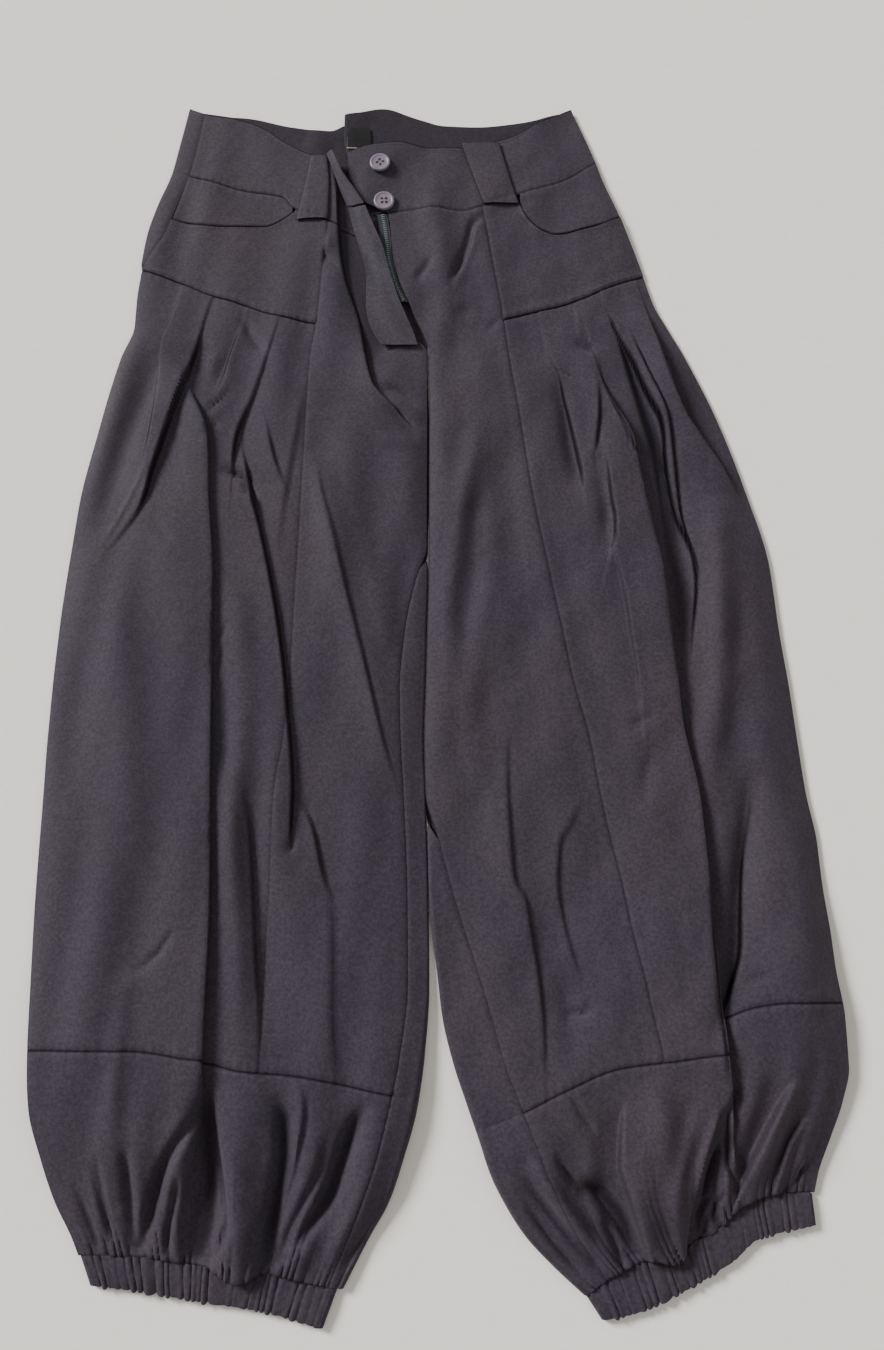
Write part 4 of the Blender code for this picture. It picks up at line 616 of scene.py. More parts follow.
def smooth(rows, place, column=1):
    """Curve through the rows' values of one column, by their first value: a cubic in each span whose
    end slopes are the harmonic mean of the neighbouring slopes, so it never overshoots a row."""
    rows = sorted(rows)
    at = np.array([row[0] for row in rows], float)
    value = np.array([row[column] for row in rows], float)
    rise = np.diff(value) / np.diff(at)
    slope = np.zeros(len(at))
    product = rise[:-1] * rise[1:]
    total = np.where(product > 0, rise[:-1] + rise[1:], 1.0)
    slope[1:-1] = np.where(product > 0, 2 * product / total, 0.0)
    slope[0] = rise[0]
    slope[-1] = rise[-1]
    place = np.clip(place, at[0], at[-1])
    span = np.clip(np.searchsorted(at, place, side="right") - 1, 0, len(at) - 2)
    step = at[span + 1] - at[span]
    t = (place - at[span]) / step
    return ((1 + 2 * t) * (1 - t) ** 2 * value[span] + t * (1 - t) ** 2 * step * slope[span]
            + t * t * (3 - 2 * t) * value[span + 1] + t * t * (t - 1) * step * slope[span + 1])


def ease(start, end, value):
    """0 at start, 1 at end, with level ends."""
    t = np.clip((value - start) / (end - start), 0.0, 1.0)
    return t * t * (3 - 2 * t)


def bell(value, width):
    """Bell curve, 1 at 0 and about 0.6 at the width."""
    return np.exp(-0.5 * (value / width) ** 2)


def plan(u, v, level=CLOTH_TOP):
    """Plan place of a photo pixel: where its ray from the lens meets the level of the cloth's top."""
    right = (u - PHOTO_WIDTH / 2) / PHOTO_LENS_PIXELS
    up = (PHOTO_HEIGHT / 2 - v) / PHOTO_LENS_PIXELS
    run = (CAMERA_PLACE[2] - level) / (math.cos(CAMERA_TILT) - up * math.sin(CAMERA_TILT))
    return (CAMERA_PLACE[0] + run * right,
            CAMERA_PLACE[1] + run * (up * math.cos(CAMERA_TILT) + math.sin(CAMERA_TILT)))


class Half:
    """One half of the trousers: its sections, seams, folds, gathers and creases."""

    def __init__(self, name, inward, sections, seams, folds, gathers, creases, inner_level, outer_level,
                 levels, seed):
        self.name = name
        self.inward = inward
        self.sections = sections
        self.seams = seams
        self.folds = folds
        self.gathers = gathers
        self.creases = creases
        self.inner_level = inner_level
        self.outer_level = outer_level
        self.levels = levels
        self.seed = seed

    def line(self, column, y):
        """x of an edge or an upright seam at y."""
        return smooth(self.sections, y, SECTION_COLUMNS.index(column))

    def seam(self, name, x):
        """y of a seam that runs across, at x. The hip yoke's top is the pocket opening, then the
        waist seam."""
        if name == "hip":
            past = self.inward * (x - POCKET_CORNER[self.name]) > 0
            return np.where(past, self.seam("waist", x), self.seam("pocket", x))
        return smooth(self.seams[name], x)

    def across(self, x, y):
        """Place across the leg, 0 at the outer edge and 1 at the inner one."""
        outer = self.line("outer", y)
        return (x - outer) / (self.line("inner", y) - outer)


def crease_path(side, width, settle, fall, crack, rows):
    """A crease's plan polyline: a smooth curve through its photo places, with its height along it."""
    numbered = [(i, *row) for i, row in enumerate(rows)]
    at = np.linspace(0, len(rows) - 1, (len(rows) - 1) * 4 + 1)
    x, y = plan(smooth(numbered, at, 1), smooth(numbered, at, 2))
    fall = fall or LOW_SETTLE * settle
    return side, width, settle, fall, crack, np.stack([x, y], axis=-1), smooth(numbered, at, 3)


def swell_crack(width, rows):
    """How dark the painted shade of a swell is: only a narrow and deep one has a crack."""
    return SWELL_CRACK if width <= NARROW_SWELL and min(row[2] for row in rows) <= DEEP_SWELL else 0


def crease_paths(pleats, creases, troughs, swells):
    """Paths of all the pleats, creases, troughs and swells of one half."""
    paths = [crease_path(*pleat) for pleat in pleats]
    paths += [crease_path(side, round(CREASE_NARROW * width, 1), settle, 0, CREASE_CRACK, rows)
              for side, width, settle, rows in creases]
    paths += [crease_path(0, width, 0, 0, crack, rows) for width, crack, rows in troughs]
    paths += [crease_path(0, width, 0, 0, swell_crack(width, rows), rows) for width, rows in swells]
    return paths


def step_profile(high, width, settle, fall):
    """Pressed step across a fold line: HIGH_SHARE of its height up on the high side and the rest down
    on the low one, each settling away from the line. high is the distance towards the high side."""
    jump = np.tanh(1.1 * high / width)
    rise = 0.5 * (1 + jump) * np.exp(-np.maximum(high - width, 0.0) / settle)
    sink = 0.5 * (1 - jump) * np.exp(-np.maximum(-high - width, 0.0) / fall)
    return rise * HIGH_SHARE - (1 - HIGH_SHARE) * sink


def crease_lift(crease, points):
    """Lift and painted crack shade of one crease at plan points: a bell across the path, or a step between
    a high side and a low one. Across is the distance to the path's nearest piece."""
    side, width, settle, fall, crack, path, heights = crease
    reach = 4 * width + 3 * max(settle, fall)
    lift = np.zeros(len(points))
    mark = np.zeros(len(points))
    near = np.all((points > path.min(axis=0) - reach) & (points < path.max(axis=0) + reach), axis=1)
    if not near.any():
        return lift, mark
    spot = points[near][:, None, :] - path[None, :-1, :]
    run = np.diff(path, axis=0)[None, :, :]
    length = (run ** 2).sum(axis=-1)
    along = np.clip((spot * run).sum(axis=-1) / length, 0.0, 1.0)
    gap = np.linalg.norm(spot - along[..., None] * run, axis=-1)
    piece = gap.argmin(axis=1)
    rank = np.arange(len(piece))
    height = (heights[piece] + along[rank, piece] * (heights[piece + 1] - heights[piece]))
    gap = gap[rank, piece]
    crack_width = CRACK_WIDTH if side or width < 3 else 0.7 * width
    mark[near] = crack * bell(gap, crack_width) * np.clip(np.abs(height) / CRACK_FULL, 0.0, 1.0)
    if side == 0:
        lift[near] = height * bell(gap, width)
        return lift, mark
    turn = run[0, piece, 0] * spot[rank, piece, 1] - run[0, piece, 1] * spot[rank, piece, 0]
    lift[near] = height * step_profile(side * np.sign(turn) * gap, width, settle, fall)
    return lift, mark


RIGHT = Half("right", 1, RIGHT_SECTIONS, RIGHT_SEAMS, RIGHT_FOLDS, RIGHT_GATHERS,
             crease_paths(RIGHT_PLEATS, RIGHT_CREASES, RIGHT_TROUGHS, RIGHT_SWELLS),
             RIGHT_INNER_LEVEL, RIGHT_OUTER_LEVEL, RIGHT_LEVELS, 11)
LEFT = Half("left", -1, LEFT_SECTIONS, LEFT_SEAMS, LEFT_FOLDS, LEFT_GATHERS,
            crease_paths(LEFT_PLEATS, LEFT_CREASES, LEFT_TROUGHS, LEFT_SWELLS),
            LEFT_INNER_LEVEL, LEFT_OUTER_LEVEL, LEFT_LEVELS, 23)


def fold(spec, x, y):
    """Shift and lift of one fold: the cloth runs on past the fold line, back under itself and on
    again, an S whose layers are half its height apart. With no overlap it is a pressed step, and
    with no side on top a bell-shaped ridge."""
    name, side, width, settle, rows = spec
    centre = smooth(rows, y, FOLD_COLUMNS.index("x"))
    height = smooth(rows, y, FOLD_COLUMNS.index("height"))
    overlap = smooth(rows, y, FOLD_COLUMNS.index("overlap"))
    if side == 0:
        return 0 * x, height * bell(x - centre, width)
    if max(row[3] for row in rows) == 0:
        return 0 * x, height * step_profile(side * (centre - x), FOLD_SHARPNESS * width, settle,
                                                LOW_SETTLE * settle)
    t = (x - centre) / width
    shift = -overlap * t * np.exp(0.5 - 0.5 * t * t)
    high = side * -t
    step = 0.5 + 0.5 * np.tanh(1.1 * high)
    layers = 0.5 + 0.25 * (np.tanh((high + 0.8) / 0.3) + np.tanh((high - 0.8) / 0.3))
    share = ease(0.5, 1.2, overlap / width)
    away = np.maximum(high - 1.0, 0.0) * width
    return shift, height * ((1 - share) * step + share * layers) * np.exp(-away / settle)


def fold_mark(spec, x, y):
    """Painted shade in the shut crack of a fold line that has no overlap."""
    name, side, width, settle, rows = spec
    if side == 0 or max(row[3] for row in rows) > 0:
        return 0 * x
    height = smooth(rows, y, FOLD_COLUMNS.index("height"))
    return FOLD_CRACK * bell(x - smooth(rows, y), CRACK_WIDTH) * np.clip(height / CRACK_FULL, 0.0, 1.0)


def gathers(half, x, y):
    """Folds of the hem band: bell-shaped ridges that grow towards the cuff and die into its seam."""
    down = (half.seam("band", x) - y) / (half.seam("band", x) - half.seam("cuff", x))
    grow = ease(0.0, 0.7, down) * (1 - GATHER_FALL * ease(0.75, 1.0, down))
    place = half.across(x, y)
    lift = 0 * x
    for at_band, at_cuff, height, width in half.gathers:
        centre = at_band + (at_cuff - at_band) * np.clip(down, 0, 1)
        lift = lift + height * bell(place - centre, width)
    return grow * lift + fold_end(half, x, y)


def fold_end(half, x, y):
    """End of the main fold: level across, between two soft steps that lean apart as they run up."""
    left, left_lean, right, right_lean, height = FOLD_ENDS[half.name]
    off = y - half.seam("cuff", x)
    inside = (ease(-FOLD_END_STEP, FOLD_END_STEP, x - left - left_lean * off)
              * ease(FOLD_END_STEP, -FOLD_END_STEP, x - right - right_lean * off))
    return height * inside * ease(*FOLD_END_REACH, off)


def cuff_puckers(half, x, y):
    """Fine gathers above the cuff: unevenly spaced sharp valleys that run a short way up the band, each
    to its own reach. Gives their height, and how shut each valley is, for the painted shade in it."""
    off = y - half.seam("cuff", x)
    place = np.clip(half.across(x, y), 0.0, 1.0) * CUFF_GATHERS
    place = place + 0.35 * np.sin(1.7 * place + half.seed)
    number = np.floor(place)
    size = 0.5 + 0.5 * np.sin(5.3 * number + half.seed)
    ridge = np.abs(np.sin(math.pi * place)) ** 0.6 - 0.6
    fade = np.exp(-np.maximum(off, 0.0) / (PUCKER_REACH[0] + PUCKER_REACH[1] * size))
    shut = bell(place - np.round(place), PUCKER_SHUT) * size * np.exp(-np.maximum(off, 0.0) / PUCKER_DARK)
    return PUCKER_HEIGHT * (0.5 + size) * ridge * fade, shut


def ripples(half, x, y):
    """Uneven lie of worn cloth: long waves that mostly run down the leg, and short faint crumples."""
    draw = np.random.RandomState(half.seed)
    lift = 0 * x
    for count, low, high, size, lean in RIPPLES:
        for _ in range(count):
            length = draw.uniform(low, high)
            way = draw.normal(0.0, lean)
            phase = draw.uniform(0.0, 2 * math.pi)
            bend = draw.uniform(0.4, 1.1)
            reach = 2 * math.pi / length * (x * math.cos(way) + y * math.sin(way))
            lift = lift + size * np.sin(reach + bend * np.sin(0.37 * reach + phase) + phase)
    return lift


def seams_near(half, x, y):
    """The sewn seams of a half: distance from each, its share there, and the place along it."""
    waist, band, cuff = half.seam("waist", x), half.seam("band", x), half.seam("cuff", x)
    princess = half.line("princess", y)
    on_leg = ease(-2.0, 1.0, y - band) * ease(-2.0, 1.0, waist - y)
    on_side = ease(-2.0, 1.0, half.inward * (princess - x))
    on_yoke = on_side * ease(-2.0, 2.0, half.seam("hip", x) - y)
    share = SEAM_SHARES[half.name]
    seams = [(x - princess, on_leg * share["princess"], y), (y - waist, share["waist"], x),
             (y - band, share["band"], x), (y - cuff, share["cuff"], x),
             (y - half.seam("yoke", x), share["yoke"] * on_yoke, x),
             (x - half.line("inseam", y), share["inseam"] * ease(-1.0, -3.0, y - share["fly_end"]), y)]
    if "side" in share:
        seams.append((x - half.line("side", y), share["side"] * ease(300.0, 330.0, y), y))
    return seams


def seam_relief(half, x, y):
    """Sewn seams: a narrow groove, the turnings' low swell beside it, and the small puckers that the
    thread draws along it."""
    relief = 0 * x
    for off, share, along in seams_near(half, x, y):
        pucker = np.sin(2 * math.pi * along / PUCKER_LENGTH + 2 * np.sin(along / 11.0 + half.seed))
        relief = relief + share * (SEAM_PUCKER * pucker * bell(off, PUCKER_WIDTH)
                                   + SEAM_SWELL * bell(np.abs(off) - TURNING, TURNING_WIDTH)
                                   - SEAM_DEPTH * bell(off, SEAM_WIDTH))
    return relief


def seam_shade_share(half, x, y):
    """Painted shade in the seams' grooves and along the top edge: 1 in the line of a seam, 0 a thread's
    width away, where the needle has drawn the cloth in.
    """
    near = 0 * x
    for off, share, along in seams_near(half, x, y):
        near = np.maximum(near, share * bell(off, SEAM_LINE))
    return np.maximum(near, TOP_SHARE * bell(y - half.seam("top", x), SEAM_LINE))


def front(half, x, y, marked=False):
    """Middle surface of a front at plan place x, y: level cloth that rounds down at the leg's edges,
    lifted and shifted by its folds, gathers, creases, ripples and seams. Marked, it also gives the
    painted shade of each point, by how near it is to a seam, a shut crease, a hollow or a pucker's valley."""
    x = x + 0.0 * y
    y = y + 0.0 * x
    from_outer = np.abs(x - half.line("outer", y))
    from_inner = np.abs(x - half.line("inner", y))
    inner_level = smooth(half.inner_level, y)
    outer_level = smooth(half.outer_level, y)
    level = FRONT_LEVEL - (FRONT_LEVEL - outer_level) * np.exp(-from_outer / SIDE_ROUND)
    inner_round = np.exp(-from_inner / SIDE_ROUND) * ease(*FLY_END, y)
    level = level - (FRONT_LEVEL - inner_level) * inner_round
    quiet = 1 - EDGE_QUIET * np.exp(-from_outer / SIDE_ROUND) - EDGE_QUIET * inner_round
    down = (half.seam("band", x) - y) / (half.seam("band", x) - half.seam("cuff", x))
    level = level + BAND_FULLNESS * ease(*BAND_RISE, down) * np.clip((1.04 - down) / 0.85, 0.0, 1.0)
    inside_leg = np.minimum(from_outer, from_inner)
    level = level + (LEG_FULLNESS * (1 - np.exp(-inside_leg / LEG_ROUND))
                     * ease(0.0, LEG_RISE, half.seam("yoke", x) - y) * ease(1.0, 0.0, down))
    shift = 0 * x
    puckers, shut = cuff_puckers(half, x, y)
    lift = gathers(half, x, y) + puckers
    # Painted shade in the shut valleys of the puckers above the cuff
    mark = PUCKER_SHADE * shut
    for spec in half.folds:
        one_shift, one_lift = fold(spec, x, y)
        shift = shift + one_shift
        lift = lift + one_lift
        mark = np.maximum(mark, fold_mark(spec, x, y))
    place = np.stack([(x + shift).ravel(), y.ravel()], axis=-1)
    relief = np.zeros(len(place))
    cracks = np.zeros(len(place))
    for crease in half.creases:
        one_lift, one_crack = crease_lift(crease, place)
        relief = relief + one_lift
        cracks = np.maximum(cracks, one_crack)
    gain = CREASE_GAIN + (BAND_CREASE_GAIN - CREASE_GAIN) * ease(-0.1, 0.4, down)
    past_princess = ease(-2.0, 2.0, half.inward * (x - half.line("princess", y)))
    below_yoke = np.clip(ease(-0.3, 1.5, half.seam("yoke", x) - y) + past_princess, 0.0, 1.0)
    lift = lift + gain * below_yoke * relief.reshape(x.shape) + ripples(half, x + shift, y)
    height = level + (FOLD_GAIN * lift + seam_relief(half, x, y)) * np.clip(quiet, 0.1, 1.0)
    height = LOWEST_FRONT + SOFT_LANDING * np.logaddexp(0.0, (height - LOWEST_FRONT) / SOFT_LANDING)
    points = np.stack([x + shift, y, height], axis=-1)
    if marked:
        mark = np.maximum(mark, below_yoke * cracks.reshape(x.shape))
        return points, np.maximum(mark, seam_shade_share(half, x, y))
    return points


def grid_normals(points):
    """Unit normals of a grid of points, from the points on each side."""
    normal = np.cross(np.gradient(points, axis=1), np.gradient(points, axis=0))
    return normal / np.maximum(np.linalg.norm(normal, axis=-1, keepdims=True), 1e-9)


def shade(tree, kind, **sockets):
    """Add a shader node. A socket's value is a constant, or the output socket that feeds it."""
    made = tree.nodes.new("ShaderNode" + kind)
    for name, value in sockets.items():
        place = made.inputs[int(name[1:])] if name[0] == "_" else made.inputs[name.replace("_", " ")]
        if isinstance(value, bpy.types.NodeSocket):
            tree.links.new(value, place)
        else:
            place.default_value = value
    return made


def ramp(tree, factor, *stops):
    """Colour ramp over places and grey levels or colours."""
    made = shade(tree, "ValToRGB", Fac=factor)
    points = made.color_ramp.elements
    while len(points) < len(stops):
        points.new(0.5)
    for point, (place, colour) in zip(points, stops):
        point.position = place
        point.color = (*colour, 1.0) if isinstance(colour, tuple) else (colour, colour, colour, 1.0)
    return made.outputs["Color"]


def mixed(tree, factor, first, second, blend="MIX"):
    """Blend of two colours."""
    made = tree.nodes.new("ShaderNodeMix")
    made.data_type = "RGBA"
    made.blend_type = blend
    for place, value in ((0, factor), (6, first), (7, second)):
        if isinstance(value, bpy.types.NodeSocket):
            tree.links.new(value, made.inputs[place])
        else:
            made.inputs[place].default_value = value if place == 0 else (*value, 1.0)
    return made.outputs[2]


def blank_material(name, roughness):
    """Material with its Principled shader and object coordinates in metres."""
    made = bpy.data.materials.new(name)
    made.use_nodes = True
    tree = made.node_tree
    shader = tree.nodes["Principled BSDF"]
    shader.inputs["Roughness"].default_value = roughness
    return made, tree, shader, shade(tree, "TexCoord").outputs["Object"]


def cloth_material(name, dark, light, worn, roughness, sheen):
    """Soft washed cotton: a fine plain weave, thick and thin threads, mottled wear and a dusty bloom."""
    made, tree, shader, place = blank_material(name, roughness)
    mottle = shade(tree, "TexNoise", Vector=place, Scale=28.0, Detail=5.0, Roughness=0.62).outputs["Fac"]
    patches = shade(tree, "TexNoise", Vector=place, Scale=7.0, Detail=3.0, Roughness=0.5).outputs["Fac"]
    threads_x = shade(tree, "TexWave", Vector=place, Scale=WEAVE_SCALE, Distortion=1.6, Detail=1.0,
                      Detail_Scale=3.0)
    threads_y = shade(tree, "TexWave", Vector=place, Scale=WEAVE_SCALE, Distortion=1.6, Detail=1.0,
                      Detail_Scale=3.0)
    threads_y.bands_direction = "Y"
    slub = shade(tree, "TexNoise", Vector=place, Scale=430.0, Detail=3.0, Roughness=0.7).outputs["Fac"]
    weave = mixed(tree, 0.5, threads_x.outputs["Color"], threads_y.outputs["Color"])
    weave = mixed(tree, 0.45, weave, slub)
    colour = mixed(tree, ramp(tree, mottle, (0.34, 0.0), (0.68, 1.0)), dark, light)
    colour = mixed(tree, ramp(tree, patches, (0.42, 0.0), (0.70, 0.75)), colour, worn)
    colour = mixed(tree, 0.5, colour, ramp(tree, weave, (0.25, 0.55), (0.75, 1.0)), "MULTIPLY")
    colour = mixed(tree, 1.0, colour, ramp(tree, slub, (0.36, 0.62), (0.64, 1.0)), "MULTIPLY")
    # Painted shade from the mesh attribute: it darkens the colour towards near-black and takes away gloss and
    # sheen in seam grooves, shut creases, hollows and other shaded places
    seam = shade(tree, "Attribute")
    seam.attribute_name = "painted_shade"
    painted_shade = seam.outputs["Fac"]
    colour = mixed(tree, ramp(tree, painted_shade, (0.1, 0.0), (0.9, SEAM_SHADE)), colour, PAINTED_SHADE_COLOUR)
    tree.links.new(colour, shader.inputs["Base Color"])
    low = shade(tree, "Bump", Strength=0.15, Distance=0.0006, Height=mottle).outputs["Normal"]
    fine = shade(tree, "Bump", Strength=0.55, Distance=0.00025, Height=weave, Normal=low)
    tree.links.new(fine.outputs["Normal"], shader.inputs["Normal"])
    rough = ramp(tree, mottle, (0.2, roughness - 0.08), (0.8, roughness + 0.1))
    tree.links.new(rough, shader.inputs["Roughness"])
    tree.links.new(ramp(tree, painted_shade, (0.1, CLOTH_GLOSS), (0.9, 0.0)), shader.inputs["Specular IOR Level"])
    tree.links.new(ramp(tree, painted_shade, (0.1, sheen), (0.9, 0.0)), shader.inputs["Sheen Weight"])
    shader.inputs["Sheen Roughness"].default_value = 0.45
    shader.inputs["Sheen Tint"].default_value = (0.80, 0.74, 0.78, 1.0)
    return made


def hard_material(name, dark, light, scale, roughness, bump):
    """Moulded or metal finish: a mottled colour with fine scratches in its roughness and relief."""
    made, tree, shader, place = blank_material(name, roughness)
    mottle = shade(tree, "TexNoise", Vector=place, Scale=scale, Detail=6.0, Roughness=0.65).outputs["Fac"]
    colour = mixed(tree, ramp(tree, mottle, (0.3, 0.0), (0.7, 1.0)), dark, light)
    tree.links.new(colour, shader.inputs["Base Color"])
    rough = ramp(tree, mottle, (0.2, roughness - 0.06), (0.8, roughness + 0.08))
    tree.links.new(rough, shader.inputs["Roughness"])
    relief = shade(tree, "Bump", Strength=bump, Distance=0.0002, Height=mottle)
    tree.links.new(relief.outputs["Normal"], shader.inputs["Normal"])
    return made


def floor_material():
    """Plain pale floor with a faint grain."""
    made, tree, shader, place = blank_material("pale_floor", 0.85)
    grain = shade(tree, "TexNoise", Vector=place, Scale=60.0, Detail=4.0, Roughness=0.6).outputs["Fac"]
    tree.links.new(ramp(tree, grain, (0.3, (0.92, 0.875, 0.80)), (0.7, (0.95, 0.91, 0.84))),
                   shader.inputs["Base Color"])
    shader.inputs["Specular IOR Level"].default_value = 0.2
    return made


MATERIALS = {
    "cloth": cloth_material("washed_cotton", (0.042, 0.032, 0.047), (0.053, 0.041, 0.058),
                            (0.057, 0.042, 0.053), 0.74, 0.15),
    "facing": cloth_material("facing_cotton", (0.049, 0.040, 0.054), (0.061, 0.050, 0.066),
                             (0.058, 0.046, 0.058), 0.74, 0.15),
    "button": hard_material("button_plastic", (0.155, 0.120, 0.160), (0.225, 0.180, 0.225), 220.0, 0.34, 0.10),
    "zip_tape": cloth_material("zip_tape_weave", (0.030, 0.038, 0.044), (0.046, 0.057, 0.064),
                               (0.040, 0.047, 0.053), 0.6, 0.15),
    "zip_teeth": hard_material("zip_coil", (0.17, 0.21, 0.22), (0.30, 0.34, 0.34), 500.0, 0.38, 0.15),
    "label": cloth_material("woven_label", (0.006, 0.006, 0.008), (0.012, 0.012, 0.014),
                            (0.010, 0.010, 0.011), 0.42, 0.1),
    "thread": cloth_material("sewing_thread", (0.075, 0.064, 0.074), (0.125, 0.108, 0.116),
                             (0.100, 0.084, 0.088), 0.55, 0.25),
    # Painted shade for the buttons' holes
    "painted_hole_shade": cloth_material("painted_hole_shade", (0.016, 0.014, 0.017), (0.028, 0.025, 0.029),
                                  (0.022, 0.019, 0.021), 0.55, 0.2),
    "pale_thread": cloth_material("pale_thread", (0.42, 0.38, 0.33), (0.58, 0.54, 0.48),
                                  (0.50, 0.46, 0.40), 0.6, 0.2),
}


def add_mesh(name, node, finish, vertices, faces, crisp=50.0, painted_shade=None):
    """Piece from points in millimetres, faces turned outwards and smooth save at crisp edges. It rides
    on the one body, and replaces its node where it has one. The last argument is each point's painted shade."""
    mesh = bpy.data.meshes.new(name)
    mesh.from_pydata((np.asarray(vertices) * MM).tolist(), [], [tuple(face) for face in faces])
    work = bmesh.new()
    work.from_mesh(mesh)
    bmesh.ops.recalc_face_normals(work, faces=work.faces)
    work.to_mesh(mesh)
    work.free()
    mesh.polygons.foreach_set("use_smooth", np.ones(len(mesh.polygons), bool))
    mesh.set_sharp_from_angle(angle=math.radians(crisp))
    mesh.materials.append(MATERIALS[finish])
    near_seam = mesh.attributes.new("painted_shade", "FLOAT", "POINT")
    near_seam.data.foreach_set("value", np.zeros(len(vertices)) if painted_shade is None else painted_shade)
    made = bpy.data.objects.new(name, mesh)
    bpy.context.scene.collection.objects.link(made)
    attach(made, "root")
    if node:
        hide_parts(node)


def shell_faces(rows, columns, closed=False):
    """Faces of a grid's upper and lower copies, joined round the rim. A closed grid joins its last
    column to its first, as a tube."""
    index = np.arange(rows * columns).reshape(rows, columns)
    if closed:
        index = np.concatenate([index, index[:, :1]], axis=1)
    below = rows * columns
    a, b, c, d = index[:-1, :-1], index[:-1, 1:], index[1:, 1:], index[1:, :-1]
    top = np.stack([a, b, c, d], axis=-1).reshape(-1, 4)
    rims = [index[0], index[-1][::-1]]
    if not closed:
        rims += [index[::-1, 0], index[:, -1]]
    sides = [np.stack([rim[1:], rim[:-1], rim[:-1] + below, rim[1:] + below], axis=-1) for rim in rims]
    return np.concatenate([top, top[:, ::-1] + below] + sides)


def wall(name, middle, normal=None, slot="cloth", closed=False, thickness=CLOTH, node=None, finish=None,
         painted_shade=None):
    """Cloth shell: the middle grid moved out and in by half its thickness, joined round its rim."""
    normal = grid_normals(middle) if normal is None else normal
    rows, columns = middle.shape[:2]
    vertices = np.concatenate([(middle + normal * thickness / 2).reshape(-1, 3),
                               (middle - normal * thickness / 2).reshape(-1, 3)])
    if painted_shade is not None:
        painted_shade = np.concatenate([painted_shade.ravel(), painted_shade.ravel()])
    add_mesh(name, node, finish or slot, vertices, shell_faces(rows, columns, closed), painted_shade=painted_shade)


def at_levels(levels, top_fade, bottom_fade):
    """Rows at given y, which turn into the top seam above top_fade and the bottom one below
    bottom_fade. Each is a y and the shares of the top and bottom seams that are added to it."""
    rows = []
    for level in levels:
        upper = max(0.0, (level - top_fade) / (levels[0] - top_fade))
        lower = max(0.0, (bottom_fade - level) / (bottom_fade - levels[-1]))
        rows.append((level - upper * levels[0] - lower * levels[-1], upper, lower))
    return rows


def even(count):
    """Rows at even shares of the way from the top seam to the bottom one."""
    return [(0.0, 1 - step / count, step / count) for step in range(count + 1)]


def seamed(rows):
    """Rows with closer ones beside the panel's top and bottom seams, where the seams' grooves are."""
    return ([(-off, 1.0, 0.0) for off in SEAM_STEPS] + rows[2:-2]
            + [(off, 0.0, 1.0) for off in reversed(SEAM_STEPS)])


def row_y(rows, top, bottom, x):
    """y of each row at x, a grid with one line for each row."""
    base, upper, lower = (np.array(part, float)[:, None] for part in zip(*rows))
    return base + upper * top(x) + lower * bottom(x)


def plan_grid(stops, top, bottom, rows, step=COLUMN_STEP):
    """Plan places of a panel. Its columns run between stops, functions that give x at y, and its rows
    between two seams, functions that give y at x. A few rounds make both true."""
    sample = np.linspace(bottom(np.array([stops[0](0.0)]))[0], top(np.array([stops[-1](0.0)]))[0], 30)
    columns = []
    for number in range(len(stops) - 1):
        width = np.abs(stops[number + 1](sample) - stops[number](sample)).max()
        count = max(1, int(round(width / step)))
        columns += [(number, part / count) for part in range(count)]
    columns.append((len(stops) - 2, 1.0))
    x = np.stack([np.full(len(rows), (1 - t) * stops[i](200.0) + t * stops[i + 1](200.0))
                  for i, t in columns], axis=1)
    y = row_y(rows, top, bottom, x)
    for _ in range(30):
        x = np.stack([(1 - t) * stops[i](y[:, j]) + t * stops[i + 1](y[:, j])
                      for j, (i, t) in enumerate(columns)], axis=1)
        y = 0.5 * y + 0.5 * row_y(rows, top, bottom, x)
    return x, y


def front_panel(name, half, stops, top, bottom, rows, slot="cloth", drop=None, step=COLUMN_STEP, shaded=None):
    """Front panel on the folded surface. drop, a function of x and y, moves it up or down, and shaded
    gives the painted shade where it slips under another."""
    x, y = plan_grid(stops, top, bottom, rows, step)
    middle, mark = front(half, x, y, marked=True)
    if drop:
        middle[..., 2] -= drop(x, y)
    if shaded:
        mark = np.maximum(mark, shaded(x, y))
    wall("cloth_" + name, middle, slot=slot, node=name, finish="cloth", painted_shade=mark)


def edge(half, column, inset=0.0):
    """Upright edge as a function of y, moved towards +X by inset."""
    return lambda y: half.line(column, y) + inset


def beside(half, column, way):
    """Stops beside an upright seam, on the side of it that way gives, from the seam outwards."""
    return [edge(half, column, way * off) for off in SEAM_STEPS]


def across(half, name, inset=0.0):
    """Cross seam as a function of x, moved square to itself by inset, towards +Y."""
    def line(x):
        slope = (half.seam(name, x + 0.5) - half.seam(name, x - 0.5))
        return half.seam(name, x) + inset * np.sqrt(1 + slope * slope)
    return line


def back_waist(x):
    """y of the back's waist seam at x: two straight runs that meet at the centre back."""
    return np.interp(x, [row[0] for row in BACK_WAIST], [row[1] for row in BACK_WAIST])


def table_edge(rows, inset=0.0, column=1):
    """Edge from rows of y and x, moved towards +X by inset."""
    return lambda y: smooth(rows, y, column) + inset


def fold_stops(half, name, block):
    """Stops that follow a fold, at block times its half width."""
    spec = next(spec for spec in half.folds if spec[0] == name)
    return [lambda y, k=k: smooth(spec[4], y) + k * spec[2] for k in block]


def constant(value):
    """Upright line at a fixed x."""
    return lambda y: value + 0 * y


